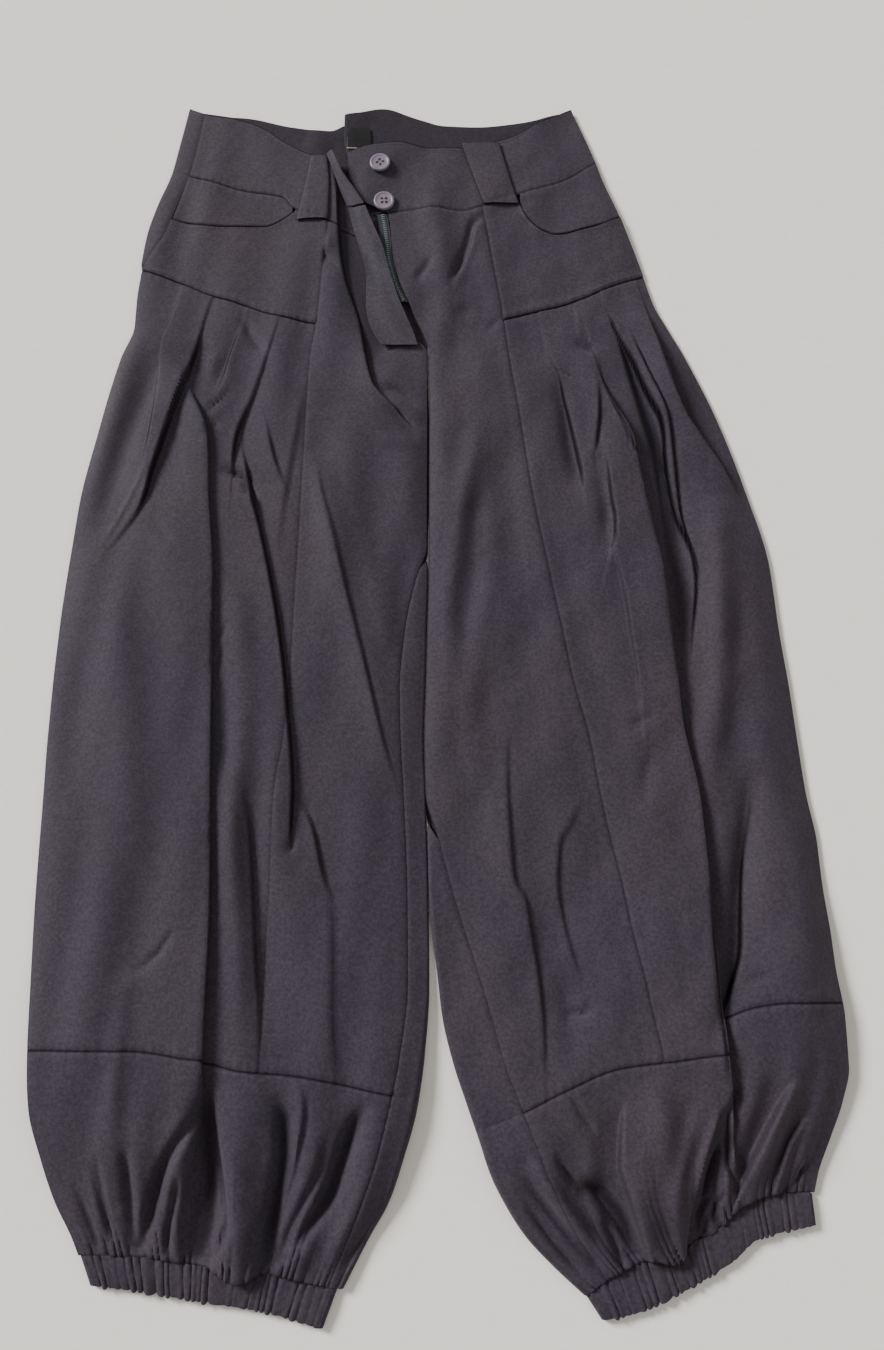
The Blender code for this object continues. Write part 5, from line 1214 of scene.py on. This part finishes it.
def waistbands():
    """Front waistbands: the right one runs under the turned-up end, the left one is the button stand."""
    steps = fold_stops(RIGHT, "fly_fold", BAND_STEPS)
    front_panel("waistband_front_right", RIGHT,
                beside(RIGHT, "side", 1) + [constant(POCKET_CORNER["right"]), edge(RIGHT, "princess")]
                + steps + [table_edge(RIGHT_FLY_EDGE)],
                across(RIGHT, "top"), across(RIGHT, "waist", GAP), seamed(even(24)))
    front_panel("waistband_front_left", LEFT,
                [table_edge(LEFT_FLY_EDGE), constant(STAND_FOLD_X), edge(LEFT, "princess"),
                 constant(POCKET_CORNER["left"]), edge(LEFT, "outer")],
                across(LEFT, "top"), across(LEFT, "waist", GAP), seamed(even(30)))


def pockets_and_yokes():
    """Pocket facings, which slip under the hip yokes, and the hip yokes below the pocket openings."""
    for half in (RIGHT, LEFT):
        corner = constant(POCKET_CORNER[half.name] - 1.5 * half.inward)
        outer = beside(half, "side", 1) if half is RIGHT else [edge(half, "outer")]
        princess = beside(half, "princess", -half.inward)[::-1]

        def facing_drop(x, y, half=half):
            top = half.seam("waist", x)
            return POCKET_DROP * ease(0.0, 1.0, (top - y) / (top - half.seam("pocket", x) - 1.0))

        def mouth(x, half=half):
            """Share of the pocket's gape at x, 0 at its ends."""
            first, last = POCKET_MOUTH[half.name]
            part = np.clip((x - first) / (last - first), 0.0, 1.0)
            return np.sin(math.pi * part) ** 0.8

        # Painted shade in the pocket's mouth, on the facing just above the opening, where the yoke's edge shades
        # it
        def mouth_shade(x, y, half=half):
            above = y - half.seam("pocket", x) + POCKET_GAPE * mouth(x)
            return ease(POCKET_SHADE, 1.2, above) * (0.75 + 0.25 * mouth(x))

        def yoke_rise(x, y, half=half):
            return (-YOKE_RISE * bell(y - half.seam("yoke", x) - 2.0, 3.0)
                    - YOKE_RISE * bell(y - half.seam("pocket", x) + 2.0, 3.0)
                    * ease(-3.0, 3.0, half.inward * (POCKET_CORNER[half.name] - x)))
        front_panel("pocket_facing_" + half.name, half, outer + [corner],
                    across(half, "waist", -GAP), across(half, "pocket", -POCKET_TUCK - POCKET_GAPE),
                    seamed(even(24)), "facing", facing_drop, shaded=mouth_shade)
        hip = across(half, "hip", -GAP)

        def yoke_top(x, half=half, hip=hip):
            on_pocket = ease(-1.0, 1.0, half.inward * (POCKET_CORNER[half.name] - x))
            return hip(x) - on_pocket * POCKET_GAPE * mouth(x)
        front_panel("hip_yoke_" + half.name, half, outer + [constant(POCKET_CORNER[half.name])] + princess,
                    yoke_top, across(half, "yoke", GAP), seamed(even(46)), drop=yoke_rise)


def right_fly_end(y):
    """Right front's edge: beside the open fly, then the centre front, then the inseam."""
    return np.minimum(smooth(RIGHT_FLY_EDGE, y), RIGHT.line("inseam", y)) - GAP


def left_fly_end(y):
    """Left front's edge: beside the zip, then the centre front, then the inseam."""
    return np.where(np.asarray(y) > 247, smooth(LEFT_FLY_EDGE, y), LEFT.line("inseam", y)) + GAP


def shifted(line, inset):
    """A line moved towards +X by inset."""
    return lambda y: line(y) + inset


def leg_rows(half, top):
    """Rows of a leg's long panel, whose first is at the y top."""
    levels = list(np.arange(top, half.levels[-1], -ROW_STEP)) + [float(half.levels[-1])]
    return seamed(at_levels(levels, half.levels[0] if top > half.levels[0] else half.levels[4], BAND_FADE))


def front_centres():
    """Long centre panels from the waistband to the hem band seam."""
    fly = fold_stops(RIGHT, "fly_fold", STEP_BLOCK)
    front_panel("front_centre_right", RIGHT,
                beside(RIGHT, "princess", 1) + fly
                + [shifted(right_fly_end, -off) for off in reversed(SEAM_STEPS)],
                across(RIGHT, "waist", -GAP), across(RIGHT, "band", GAP), leg_rows(RIGHT, 366.0))
    front_panel("front_centre_left", LEFT,
                [shifted(left_fly_end, off) for off in SEAM_STEPS] + beside(LEFT, "princess", -1)[::-1],
                across(LEFT, "waist", -GAP), across(LEFT, "band", GAP), leg_rows(LEFT, 384.0))


def front_sides():
    """Side panels, pleated into the yoke seam, with the leg's main overlap. Their tops lie a little
    lower than the yokes that they hang from."""
    for half in (RIGHT, LEFT):
        def tuck(x, y, half=half):
            return YOKE_RISE * bell(half.seam("yoke", x) - y - 2.0, 3.5)
        block = fold_stops(half, "main_overlap", FOLD_BLOCK)
        if half is RIGHT:
            stops = beside(RIGHT, "side", 1) + block + beside(RIGHT, "princess", -1)[::-1]
        else:
            stops = beside(LEFT, "princess", 1) + block + [edge(LEFT, "outer")]
        front_panel("front_side_" + half.name, half, stops, across(half, "yoke", -GAP),
                    across(half, "band", GAP), leg_rows(half, float(half.levels[0])), drop=tuck)


def hem_band_fronts():
    """Front hem bands, gathered into the cuffs."""
    right = fold_stops(RIGHT, "main_overlap", FOLD_BLOCK)
    left = fold_stops(LEFT, "main_overlap", FOLD_BLOCK)
    front_panel("hem_band_front_right", RIGHT,
                [edge(RIGHT, "outer")] + right + [edge(RIGHT, "princess")] + beside(RIGHT, "inseam", -1)[::-1],
                across(RIGHT, "band", -GAP), across(RIGHT, "cuff", GAP), seamed(even(BAND_ROWS)),
                step=BAND_COLUMN_STEP)
    front_panel("hem_band_front_left", LEFT,
                beside(LEFT, "inseam", 1) + [edge(LEFT, "princess")] + left + [edge(LEFT, "outer")],
                across(LEFT, "band", -GAP), across(LEFT, "cuff", GAP), seamed(even(BAND_ROWS)),
                step=BAND_COLUMN_STEP)


def floor_lift(x, y, seed):
    """Low uneven ridges of a back panel that lies on the floor: the upper parts of seeded waves."""
    draw = np.random.RandomState(seed)
    lift = 0 * x + 0 * y
    for _ in range(9):
        length = draw.uniform(30.0, 110.0)
        way = draw.normal(0.0, 0.6)
        phase = draw.uniform(0.0, 2 * math.pi)
        reach = 2 * math.pi / length * (x * math.cos(way) + y * math.sin(way))
        lift = lift + np.sin(reach + 0.8 * np.sin(0.4 * reach + phase) + phase)
    return FLOOR_RIDGE * np.clip(lift - 0.9, 0.0, 3.5) / 3.5


def outline_at(half, column, y_at):
    """x and y of each row's end on an outline. y_at gives the rows' y at x; a few rounds make both true."""
    outline = half.line(column, y_at(np.zeros((1, 1)))[:, 0])
    for _ in range(MATCH_ROUNDS):
        y = y_at(outline[:, None])[:, 0]
        outline = half.line(column, y)
    return outline, y


def curl(half, column, seam_column, side, whole_and_end, y_at, turn_steps, strip_steps):
    """Curled edge of a back panel: its turn's columns, then the strip that lies on the front as far
    as the seam. Where the curl has ended, the same columns lie flat on the floor. y_at gives the
    rows' y at x. side is -1 where the leg lies towards -X of this edge."""
    whole, end = whole_and_end
    outline, y = outline_at(half, column, y_at)
    share = ease(end, whole, y)[:, None]
    rim = outline
    for _ in range(6):
        radius = (front(half, rim, y)[:, 2] - FLOOR_MID) / 2
        rim = outline + side * radius
    angle = np.linspace(0.0, math.pi, turn_steps + 1)[None, :]
    turn_x = rim[:, None] - side * radius[:, None] * np.sin(angle)
    turn_z = FLOOR_MID + radius[:, None] * (1 - np.cos(angle))
    turn = np.stack([turn_x, np.repeat(y[:, None], turn_steps + 1, axis=1), turn_z], axis=-1)
    part = np.linspace(0.0, 1.0, strip_steps + 1)[None, 1:]
    strip_y = np.repeat(y[:, None], strip_steps, axis=1)
    for _ in range(MATCH_ROUNDS):
        seam_x = half.line(seam_column, strip_y[:, -1]) - side * GAP
        reach = np.where(side * (seam_x - rim) > NARROWEST, seam_x, rim + side * NARROWEST)
        strip_x = rim[:, None] + part * (reach - rim)[:, None]
        strip_y = y_at(strip_x)
    on_front = front(half, strip_x, strip_y)
    on_front[..., 0] = strip_x
    curled = np.concatenate([turn, on_front], axis=1)
    lie = np.linspace(3.0, GAP, turn_steps + strip_steps + 1)[None, :]
    flat = np.stack([outline[:, None] + side * lie, curled[..., 1], np.full_like(curled[..., 1], FLOOR_MID)],
                    axis=-1)
    return share[..., None] * curled + (1 - share[..., None]) * flat


def back_panel(name, half, inner, outer, floor_steps):
    """Back panel from its outer columns, over the floor, to its inner columns, given as points."""
    part = np.linspace(0.0, 1.0, floor_steps + 1)[None, 1:-1, None]
    floor = outer[:, :1] + part * (inner[:, :1] - outer[:, :1])
    floor[..., 2] += floor_lift(floor[..., 0], floor[..., 1], half.seed) * np.sin(math.pi * part[..., 0]) ** 0.5
    middle = np.concatenate([outer[:, ::-1], floor, inner], axis=1)
    wall("cloth_" + name, middle, node=name)


def flat_end(half, y_at):
    """Outer end of a back panel that stays on the floor."""
    outline, y = outline_at(half, "outer", y_at)
    return np.stack([outline, y, np.full_like(y, FLOOR_MID)], axis=-1)[:, None, :]


def back_legs():
    """Backs of the legs: flat on the floor, curled round the inner edge to the inseam, and on the
    right side round the hip to the side seam."""
    for half, ends, inner_curl in ((RIGHT, (413, -326, 421, -312), RIGHT_INNER_CURL),
                                   (LEFT, (413, -320, 430, -280), LEFT_INNER_CURL)):
        inner_y = np.linspace(ends[0], ends[1], BACK_ROWS)
        outer_y = np.linspace(ends[2], ends[3], BACK_ROWS)
        inner_rows = at_levels(inner_y, inner_y[0] - 1.0, BAND_FADE)

        def waist(x):
            return back_waist(x) - GAP

        def inner_at(x, half=half, rows=inner_rows):
            return row_y(rows, waist, across(half, "band", GAP), x)
        inner = curl(half, "inner", "inseam", -half.inward, inner_curl, inner_at, 12, 20)
        last = float(outer_y[-1])
        outer_rows = at_levels(outer_y, 371 if half is RIGHT else outer_y[0] - 1.0, last + 1.0)
        if half is RIGHT:
            def outer_at(x, rows=outer_rows, last=last):
                return row_y(rows, across(RIGHT, "waist", -GAP), lambda x: last + GAP + 0 * x, x)
            outer = curl(half, "outer", "side", 1, RIGHT_OUTER_CURL, outer_at, 10, 8)
        else:
            outer = flat_end(half, lambda x, rows=outer_rows, last=last: row_y(
                rows, waist, lambda x: last + GAP + 0 * x, x))
        back_panel("back_" + half.name, half, inner, outer, 30)


def hem_band_backs():
    """Back hem bands: flat on the floor and curled round the inner edge to the inseam."""
    for half in (RIGHT, LEFT):
        def rows_at(x, half=half):
            return row_y(even(30), across(half, "band", -GAP), across(half, "cuff", GAP + 0.1), x)
        inner = curl(half, "inner", "inseam", -half.inward, (-340, -330), rows_at, 12, 20)
        back_panel("hem_band_back_" + half.name, half, inner, flat_end(half, rows_at), 26)


def cuffs():
    """Cuffs: flat tubes on elastic. The front is drawn into gathers, rounded ridges between sharp
    valleys, whose frilled edges run out past the casing, and the back lies on the floor."""
    for half in (RIGHT, LEFT):
        top_ends = (half.seams["cuff"][0][0], half.seams["cuff"][-1][0])
        bottom_ends = (half.seams["hem"][0][0], half.seams["hem"][-1][0])
        radius = (CUFF_LEVEL - FLOOR_MID) / 2
        if half is RIGHT:
            back_x = (half.line("outer", half.seams["cuff"][0][1]), top_ends[1] - radius)
        else:
            back_x = (top_ends[0] + radius, half.line("outer", half.seams["cuff"][-1][1]))
        place = np.linspace(0.0, 1.0, CUFF_GATHERS * CUFF_STEPS + 1)
        count = (CUFF_GATHERS * place + np.sin(math.pi * place)
                 * (CUFF_UNEVEN[0] * np.sin(19.5 * place + half.seed)
                    + CUFF_UNEVEN[1] * np.sin(47.0 * place + 2 * half.seed)))
        size = np.sin(1.3 * count + 2.1 * np.sin(0.47 * count) + half.seed)
        size = np.clip(0.46 + 0.40 * size + 0.22 * np.sin(3.1 * count + 2 * half.seed), 0.06, 1.0)
        calm = np.clip(22 * np.minimum(place, 1 - place), 0.0, 1.0)
        ridge = np.abs(np.sin(math.pi * count)) ** 0.7
        turn = np.linspace(0.0, math.pi, 9)[1:-1]
        under = np.linspace(1.0, 0.0, 40)
        along = np.concatenate([place, 1 + 0 * turn, under, 0 * turn])
        bulge = np.concatenate([0 * place, radius * np.sin(turn), 0 * under, -radius * np.sin(turn)])
        on_front = np.arange(len(along)) < len(place)
        on_front[0 if half is LEFT else len(place) - 1] = False
        rings = []
        for v in np.linspace(0.0, 1.0, CUFF_ROWS):
            swell = CUFF_SWELL * math.sin(math.pi * v) ** 0.6
            frill = CUFF_FRILL * (v - 0.8) / 0.2 if v > 0.8 else 0.0
            lean = 0.0016 * np.sin(1.1 * count + 3.0 * v + half.seed)
            depth = CUFF_WAVE * size * (0.55 + 0.45 * abs(2 * v - 1) + 0.2 * np.sin(9 * v + count))
            x_top = top_ends[0] + radius + along * (top_ends[1] - top_ends[0] - 2 * radius)
            x_low = bottom_ends[0] + radius + along * (bottom_ends[1] - bottom_ends[0] - 2 * radius)
            height = np.concatenate([CUFF_LEVEL + calm * depth * (2 * ridge - 1.3) + swell,
                                     FLOOR_MID + radius * (1 + np.cos(turn)), FLOOR_MID + 0 * under,
                                     FLOOR_MID + radius * (1 - np.cos(turn))])
            y_back = np.interp(x_top + bulge, back_x, [half.seams["cuff"][0][1], half.seams["cuff"][-1][1]])
            y_top = np.where(on_front, half.seam("cuff", x_top), y_back) - GAP
            y_low = half.seam("hem", x_low)
            scallop = np.concatenate([calm * frill * (ridge - 0.5) * size, 0 * turn, 0 * under, 0 * turn])
            sway = np.concatenate([calm * lean * (top_ends[1] - top_ends[0]), 0 * turn, 0 * under, 0 * turn])
            rings.append(np.stack([x_top + v * (x_low - x_top) + bulge + sway,
                                   y_top + v * (y_low - y_top) - scallop, height], axis=-1))
        middle = np.stack(rings)
        looped = np.concatenate([middle[:, -1:], middle, middle[:, :1]], axis=1)
        wall("cloth_cuff_" + half.name, middle, grid_normals(looped)[:, 1:-1], closed=True,
             node="cuff_" + half.name)


def waistband_back():
    """Back waistband on the floor, inside face up, with its right part tucked under its left, and
    curled at the right side as far as the side seam."""
    width = BACK_OVERLAP[2]
    block = [-74 + k * width for k in FOLD_BLOCK]
    stops = np.concatenate([np.arange(-180.0, block[0] - 2.0, 3.0), block,
                            np.arange(block[-1] + 3.0, 123.0, 3.0), [123.0]])
    tops = RIGHT_SEAMS["back_top"] + LEFT_SEAMS["back_top"]
    outer_end = LEFT.line("outer", 430.0) - 123.0

    def edge_at(x):
        return row_y(even(36), across(RIGHT, "top"), across(RIGHT, "waist", GAP), x)
    curled = curl(RIGHT, "outer", "side", 1, (400, 390), edge_at, 10, 8)
    down = np.linspace(0.0, 1.0, 37)[:, None]
    x = stops[None, :] + down * outer_end * np.clip((stops - 35.0) / 88.0, 0, 1)[None, :]
    y = smooth(tops, x) + down * (back_waist(x) + GAP - smooth(tops, x))
    shift, lift = fold(BACK_OVERLAP, x, y)
    lift = lift + floor_lift(x, y, 5) * BAND_RIDGE * (x > -150)
    open_part = np.stack([x + shift, y, FLOOR_MID + lift], axis=-1)
    # Painted shade on the open part of the back waistband, which lies inside face up behind the front
    in_shade = np.concatenate([0.0 * curled[..., 0], INSIDE_SHADE + 0 * x], axis=1)
    wall("cloth_waistband_back", np.concatenate([curled[:, ::-1], open_part], axis=1), node="waistband_back",
         finish="cloth", painted_shade=in_shade)


def strip_middle(rows, point, columns, steps):
    """Middle grid over rows of y, left and right, each span cut in steps, with point giving its place."""
    places = np.linspace(0, len(rows) - 1, (len(rows) - 1) * steps + 1)
    numbered = [(i, *row) for i, row in enumerate(rows)]
    y = smooth(numbered, places, 1)[:, None]
    left = smooth(numbered, places, 2)[:, None]
    right = smooth(numbered, places, 3)[:, None]
    part = np.linspace(0.0, 1.0, columns + 1)[None, :]
    x = left + part * (right - left)
    return point(x, y + 0 * x, part + 0 * x)


def on_front(half, lift):
    """A point function that lies on a front, raised by lift."""
    def point(x, y, part):
        middle = front(half, x, y)
        middle[..., 2] += lift
        return middle
    return point


def belt_loops():
    """Belt loops, flat strips on the waistband whose edges are turned under."""
    for half, rows in ((RIGHT, RIGHT_LOOP), (LEFT, LEFT_LOOP)):
        middle = strip_middle(rows, on_front(half, LIE), 24, 16)
        part = np.linspace(-1.0, 1.0, 25)[None, :]
        middle[..., 2] += 0.7 + 0.9 * (1 - part ** 6)
        # Painted shade along the loops' turned-under edges
        edge_shade = 0.75 * ease(0.90, 1.0, np.abs(part)) + 0 * middle[..., 0]
        wall("cloth_belt_loop_" + half.name, middle, node="belt_loop_" + half.name, painted_shade=edge_shade)


def fly_lean(rows):
    """Point function of a strip that leans up from its low edge to its high one over the right front."""
    def point(x, y, part):
        low = smooth(rows, y, 3)
        high = smooth(rows, y, 4)
        lying = front(RIGHT, x, y)[..., 2] + LIE + 0.2
        rise = low + (high - low) * ease(0.0, 1.0, part) + 0.35 * np.sin(y / 6.0) * part
        rise = rise + 0.8 * np.sin(y / 11.0 + 3.0 * part) * np.sin(math.pi * part) + 0.5 * bell(part - 0.55, 0.12)
        return np.stack([x, y, np.maximum(lying, rise)], axis=-1)
    return point


def fly():
    """Turned-up end of the waistband and the fly flap below it, which leans over the zip."""
    for name, rows in (("waistband_end_right", WAIST_END), ("fly_flap", FLY_FLAP)):
        wall("cloth_" + name, strip_middle(rows, fly_lean(rows), 16, 14), slot="facing", node=name)


def beads(name, node, finish, places, run, size):
    """Row of small six-sided beads, stitches or coil turns: each a short rod with pointed ends along its
    run, with size the half length, half width and half height."""
    run = run / np.linalg.norm(run, axis=-1, keepdims=True)
    up = np.zeros_like(run)
    up[:, 2] = 1.0
    wide = np.cross(up, run)
    wide = wide / np.linalg.norm(wide, axis=-1, keepdims=True)
    up = np.cross(run, wide)
    turn = np.linspace(0.0, 2 * math.pi, 7)[:-1]
    rings = [(-1.0, 0.0), (-0.55, 0.85), (0.55, 0.85), (1.0, 0.0)]
    corners = [(-1.0, 0.0, 0.0)] + [(along, wider * math.cos(t), wider * math.sin(t))
                                    for along, wider in rings[1:3] for t in turn] + [(1.0, 0.0, 0.0)]
    corners = np.array(corners) * np.array(size)
    points = (places[:, None, :] + corners[None, :, 0:1] * run[:, None, :]
              + corners[None, :, 1:2] * wide[:, None, :] + corners[None, :, 2:3] * up[:, None, :])
    faces = []
    for k in range(6):
        after = (k + 1) % 6
        faces += [(0, 1 + after, 1 + k), (1 + k, 1 + after, 7 + after, 7 + k), (13, 7 + k, 7 + after)]
    every = [tuple(14 * number + corner for corner in face) for number in range(len(places)) for face in faces]
    add_mesh(name, node, finish, points.reshape(-1, 3), every, crisp=80.0)


def along_path(path, spacing):
    """Places at even spacing on a polyline of points, and the run there."""
    span = np.linalg.norm(np.diff(path, axis=0), axis=1)
    reach = np.concatenate([[0.0], np.cumsum(span)])
    at = np.arange(spacing / 2, reach[-1], spacing)
    places = np.stack([np.interp(at, reach, path[:, k]) for k in range(3)], axis=-1)
    ahead = np.stack([np.interp(at + 0.3, reach, path[:, k]) - np.interp(at - 0.3, reach, path[:, k])
                      for k in range(3)], axis=-1)
    return places, ahead


def sewn_line(name, half, x, y, lift=0.0):
    """Topstitching at plan places on a front's face: one small drawn-out bead for each stitch."""
    path = front(half, np.asarray(x, float)[None, :], np.asarray(y, float)[None, :])[0]
    path[:, 2] += CLOTH / 2 + 0.05 + lift
    places, run = along_path(path, STITCH_SPACING)
    beads(name, None, "thread", places, run, STITCH_SIZE)


def topstitching():
    """Rows of stitches: pocket openings, yoke and waist seams, belt loops and the button stand."""
    for half in (RIGHT, LEFT):
        for seam, ends, steps, off, lift in STITCH_LINES[half.name]:
            x = np.linspace(*ends, steps)
            sewn_line("stitches_%s_%s" % (seam, half.name), half, x, half.seam(seam, x) + off, lift)
    for half, rows in ((RIGHT, RIGHT_LOOP), (LEFT, LEFT_LOOP)):
        for side in LOOP_STITCH_SHARES:
            y = np.linspace(rows[0][0] - 2.0, rows[-1][0] + 2.0, 40)
            x = smooth(rows, y, 1) + side * (smooth(rows, y, 2) - smooth(rows, y, 1))
            sewn_line("stitches_loop_%s_%d" % (half.name, round(side * 100)), half, x, y, LIE + 0.3)


def zip_pieces():
    """Zip tape beside the left front, and the coil's turns along it."""
    def on_level(level):
        def point(x, y, part):
            return np.stack([x, y, level + 0.25 * np.sin(y / 5.0)], axis=-1)
        return point
    tape = strip_middle(ZIP_TAPE, on_level(ZIP_LEVEL), 10, 12)
    wall("woven_zip_tape", tape, slot="zip_tape", thickness=ZIP_TAPE_THICKNESS, node="zip_tape")
    coil = [(y, right - ZIP_TEETH_INSET, right - ZIP_TEETH_INSET + 0.1) for y, left, right in ZIP_TAPE]
    middle = strip_middle(coil, on_level(ZIP_LEVEL + ZIP_TAPE_THICKNESS / 2 + 0.6), 1, 12)[:, 0]
    places, run = along_path(middle, ZIP_PITCH)
    side = np.stack([run[:, 1], -run[:, 0], 0 * run[:, 0]], axis=-1)
    beads("zip_coil_turns", "zip_teeth", "zip_teeth", places, side, COIL_SIZE)


def button_height(share, angle, first_hole):
    """Height of a button's face at a share of its radius: a flat middle, a rolled rim, and four sewing
    holes, each a round pit. first_hole is the angle of one of them in degrees."""
    height = smooth(BUTTON_FACE, share)
    x = share * BUTTON_DIAMETER / 2 * np.cos(angle)
    y = share * BUTTON_DIAMETER / 2 * np.sin(angle)
    for hole in range(4):
        turn = math.radians(first_hole + 90 * hole)
        away = np.hypot(x - BUTTON_HOLE_RING * math.cos(turn), y - BUTTON_HOLE_RING * math.sin(turn))
        height = height - BUTTON_HOLE_DEPTH * ease(BUTTON_HOLE / 2 + 0.15, BUTTON_HOLE / 2 - 0.25, away)
    return height


def buttons():
    """Two buttons on the button stand, each a turned face over a plain underside, with painted shade in
    its holes and two bars of thread."""
    turns = BUTTON_COLUMNS
    share = np.concatenate([np.linspace(0.0, 0.62, 22)[1:], np.linspace(0.64, 1.0, 14)])
    angle = np.linspace(0.0, 2 * math.pi, turns + 1)[:-1]
    share_grid, angle_grid = np.meshgrid(share, angle, indexing="ij")
    rings = len(share)
    for number, (cx, cy) in enumerate(BUTTON_CENTRES, start=1):
        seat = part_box("button_%d" % number)[0][2] / MM
        tilt_x, tilt_y = BUTTON_TILTS[number - 1]
        first_hole = BUTTON_TURNS[number - 1]
        face = np.stack([share_grid * BUTTON_DIAMETER / 2 * np.cos(angle_grid),
                         share_grid * BUTTON_DIAMETER / 2 * np.sin(angle_grid),
                         button_height(share_grid, angle_grid, first_hole)], axis=-1)
        under = face[::-1].copy()
        under[..., 2] = 0.9 * np.clip(share_grid[::-1] - 0.75, 0.0, 1.0) * 2
        points = np.concatenate([face.reshape(-1, 3), under.reshape(-1, 3),
                                 [[0, 0, BUTTON_FACE[0][1]], [0, 0, 0]]])
        points[:, 2] += seat + tilt_x * points[:, 0] + tilt_y * points[:, 1]
        points[:, 0] += cx
        points[:, 1] += cy
        index = np.arange(2 * rings * turns).reshape(2 * rings, turns)
        index = np.concatenate([index, index[:, :1]], axis=1)
        quads = np.stack([index[:-1, :-1], index[:-1, 1:], index[1:, 1:], index[1:, :-1]],
                         axis=-1).reshape(-1, 4)
        top, bottom = len(points) - 2, len(points) - 1
        caps = [(top, index[0, k + 1], index[0, k]) for k in range(turns)]
        caps += [(bottom, index[-1, k], index[-1, k + 1]) for k in range(turns)]
        add_mesh("turned_button_%d" % number, "button_%d" % number, "button", points,
                 [tuple(quad) for quad in quads] + caps, crisp=60.0)
        turn = np.radians(first_hole + 90.0 * np.arange(4))
        holes = np.stack([cx + BUTTON_HOLE_RING * np.cos(turn), cy + BUTTON_HOLE_RING * np.sin(turn),
                          np.full(4, seat + BUTTON_FACE[0][1])], axis=-1)
        # Painted shade: dark beads in the holes, where shade falls
        beads("button_holes_%d" % number, None, "painted_hole_shade", holes, np.array([[1.0, 0.0, 0.0]] * 4),
              HOLE_SHADE_SIZE)
        beads("button_thread_%d" % number, None, "button", (holes[:2] + holes[1:3]) / 2,
              holes[1:3] - holes[:2], BUTTON_THREAD_SIZE)


def label():
    """Blank label inside the back waistband, beside its overlap; its pale edging shows below it."""
    def on_band(lift):
        def point(x, y, part):
            height = smooth(BACK_OVERLAP[4], y, FOLD_COLUMNS.index("height"))
            settled = np.exp(-np.maximum(x - LABEL_START, 0.0) / BACK_OVERLAP[3])
            return np.stack([x, y, FLOOR_MID + height * settled + LIE + lift + 0.12 * np.sin(y / 3.0)], axis=-1)
        return point
    wall("woven_label_blank", strip_middle(LABEL_ROWS, on_band(0.5), 12, 14), slot="label", thickness=0.5,
         node="label")
    edging = [(y - 1.3, left - 0.3, right - 0.6) for y, left, right in LABEL_ROWS]
    wall("label_edging", strip_middle(edging, on_band(-0.05), 12, 14), slot="label", thickness=0.3,
         finish="pale_thread")


def camera():
    """Camera over the garment, tilted as the photograph was taken."""
    lens = bpy.data.cameras.new("camera")
    lens.sensor_fit = "AUTO"
    lens.sensor_width = 36.0
    lens.lens = PHOTO_LENS_PIXELS / PHOTO_HEIGHT * 36.0
    made = bpy.data.objects.new("camera", lens)
    bpy.context.scene.collection.objects.link(made)
    made.location = [value * MM for value in CAMERA_PLACE]
    made.rotation_euler = (CAMERA_TILT, 0.0, 0.0)
    bpy.context.scene.camera = made


def light(name, shines_from, strength, spread, colour):
    """Soft distant light from one direction."""
    lamp = bpy.data.lights.new(name, "SUN")
    lamp.energy = strength
    lamp.angle = math.radians(spread)
    lamp.color = colour
    made = bpy.data.objects.new(name, lamp)
    bpy.context.scene.collection.objects.link(made)
    made.location = shines_from
    made.rotation_euler = (-made.location).to_track_quat("-Z", "Y").to_euler()


def stage():
    """Plain pale floor, soft studio lights and a pale surround."""
    mesh = bpy.data.meshes.new("floor")
    mesh.from_pydata([(-6, -6, 0), (6, -6, 0), (6, 6, 0), (-6, 6, 0)], [], [(0, 1, 2, 3)])
    mesh.materials.append(floor_material())
    floor = bpy.data.objects.new("floor", mesh)
    bpy.context.scene.collection.objects.link(floor)
    for name, shines_from, strength, spread, colour in LIGHTS:
        light(name, shines_from, strength, spread, colour)
    world = bpy.data.worlds.new("surround")
    world.use_nodes = True
    world.node_tree.nodes["Background"].inputs["Color"].default_value = (*SURROUND_COLOUR, 1.0)
    world.node_tree.nodes["Background"].inputs["Strength"].default_value = SURROUND_STRENGTH
    bpy.context.scene.world = world


camera()
waistbands()
waistband_back()
belt_loops()
pockets_and_yokes()
front_centres()
front_sides()
back_legs()
hem_band_fronts()
hem_band_backs()
cuffs()
fly()
zip_pieces()
buttons()
label()
topstitching()
stage()
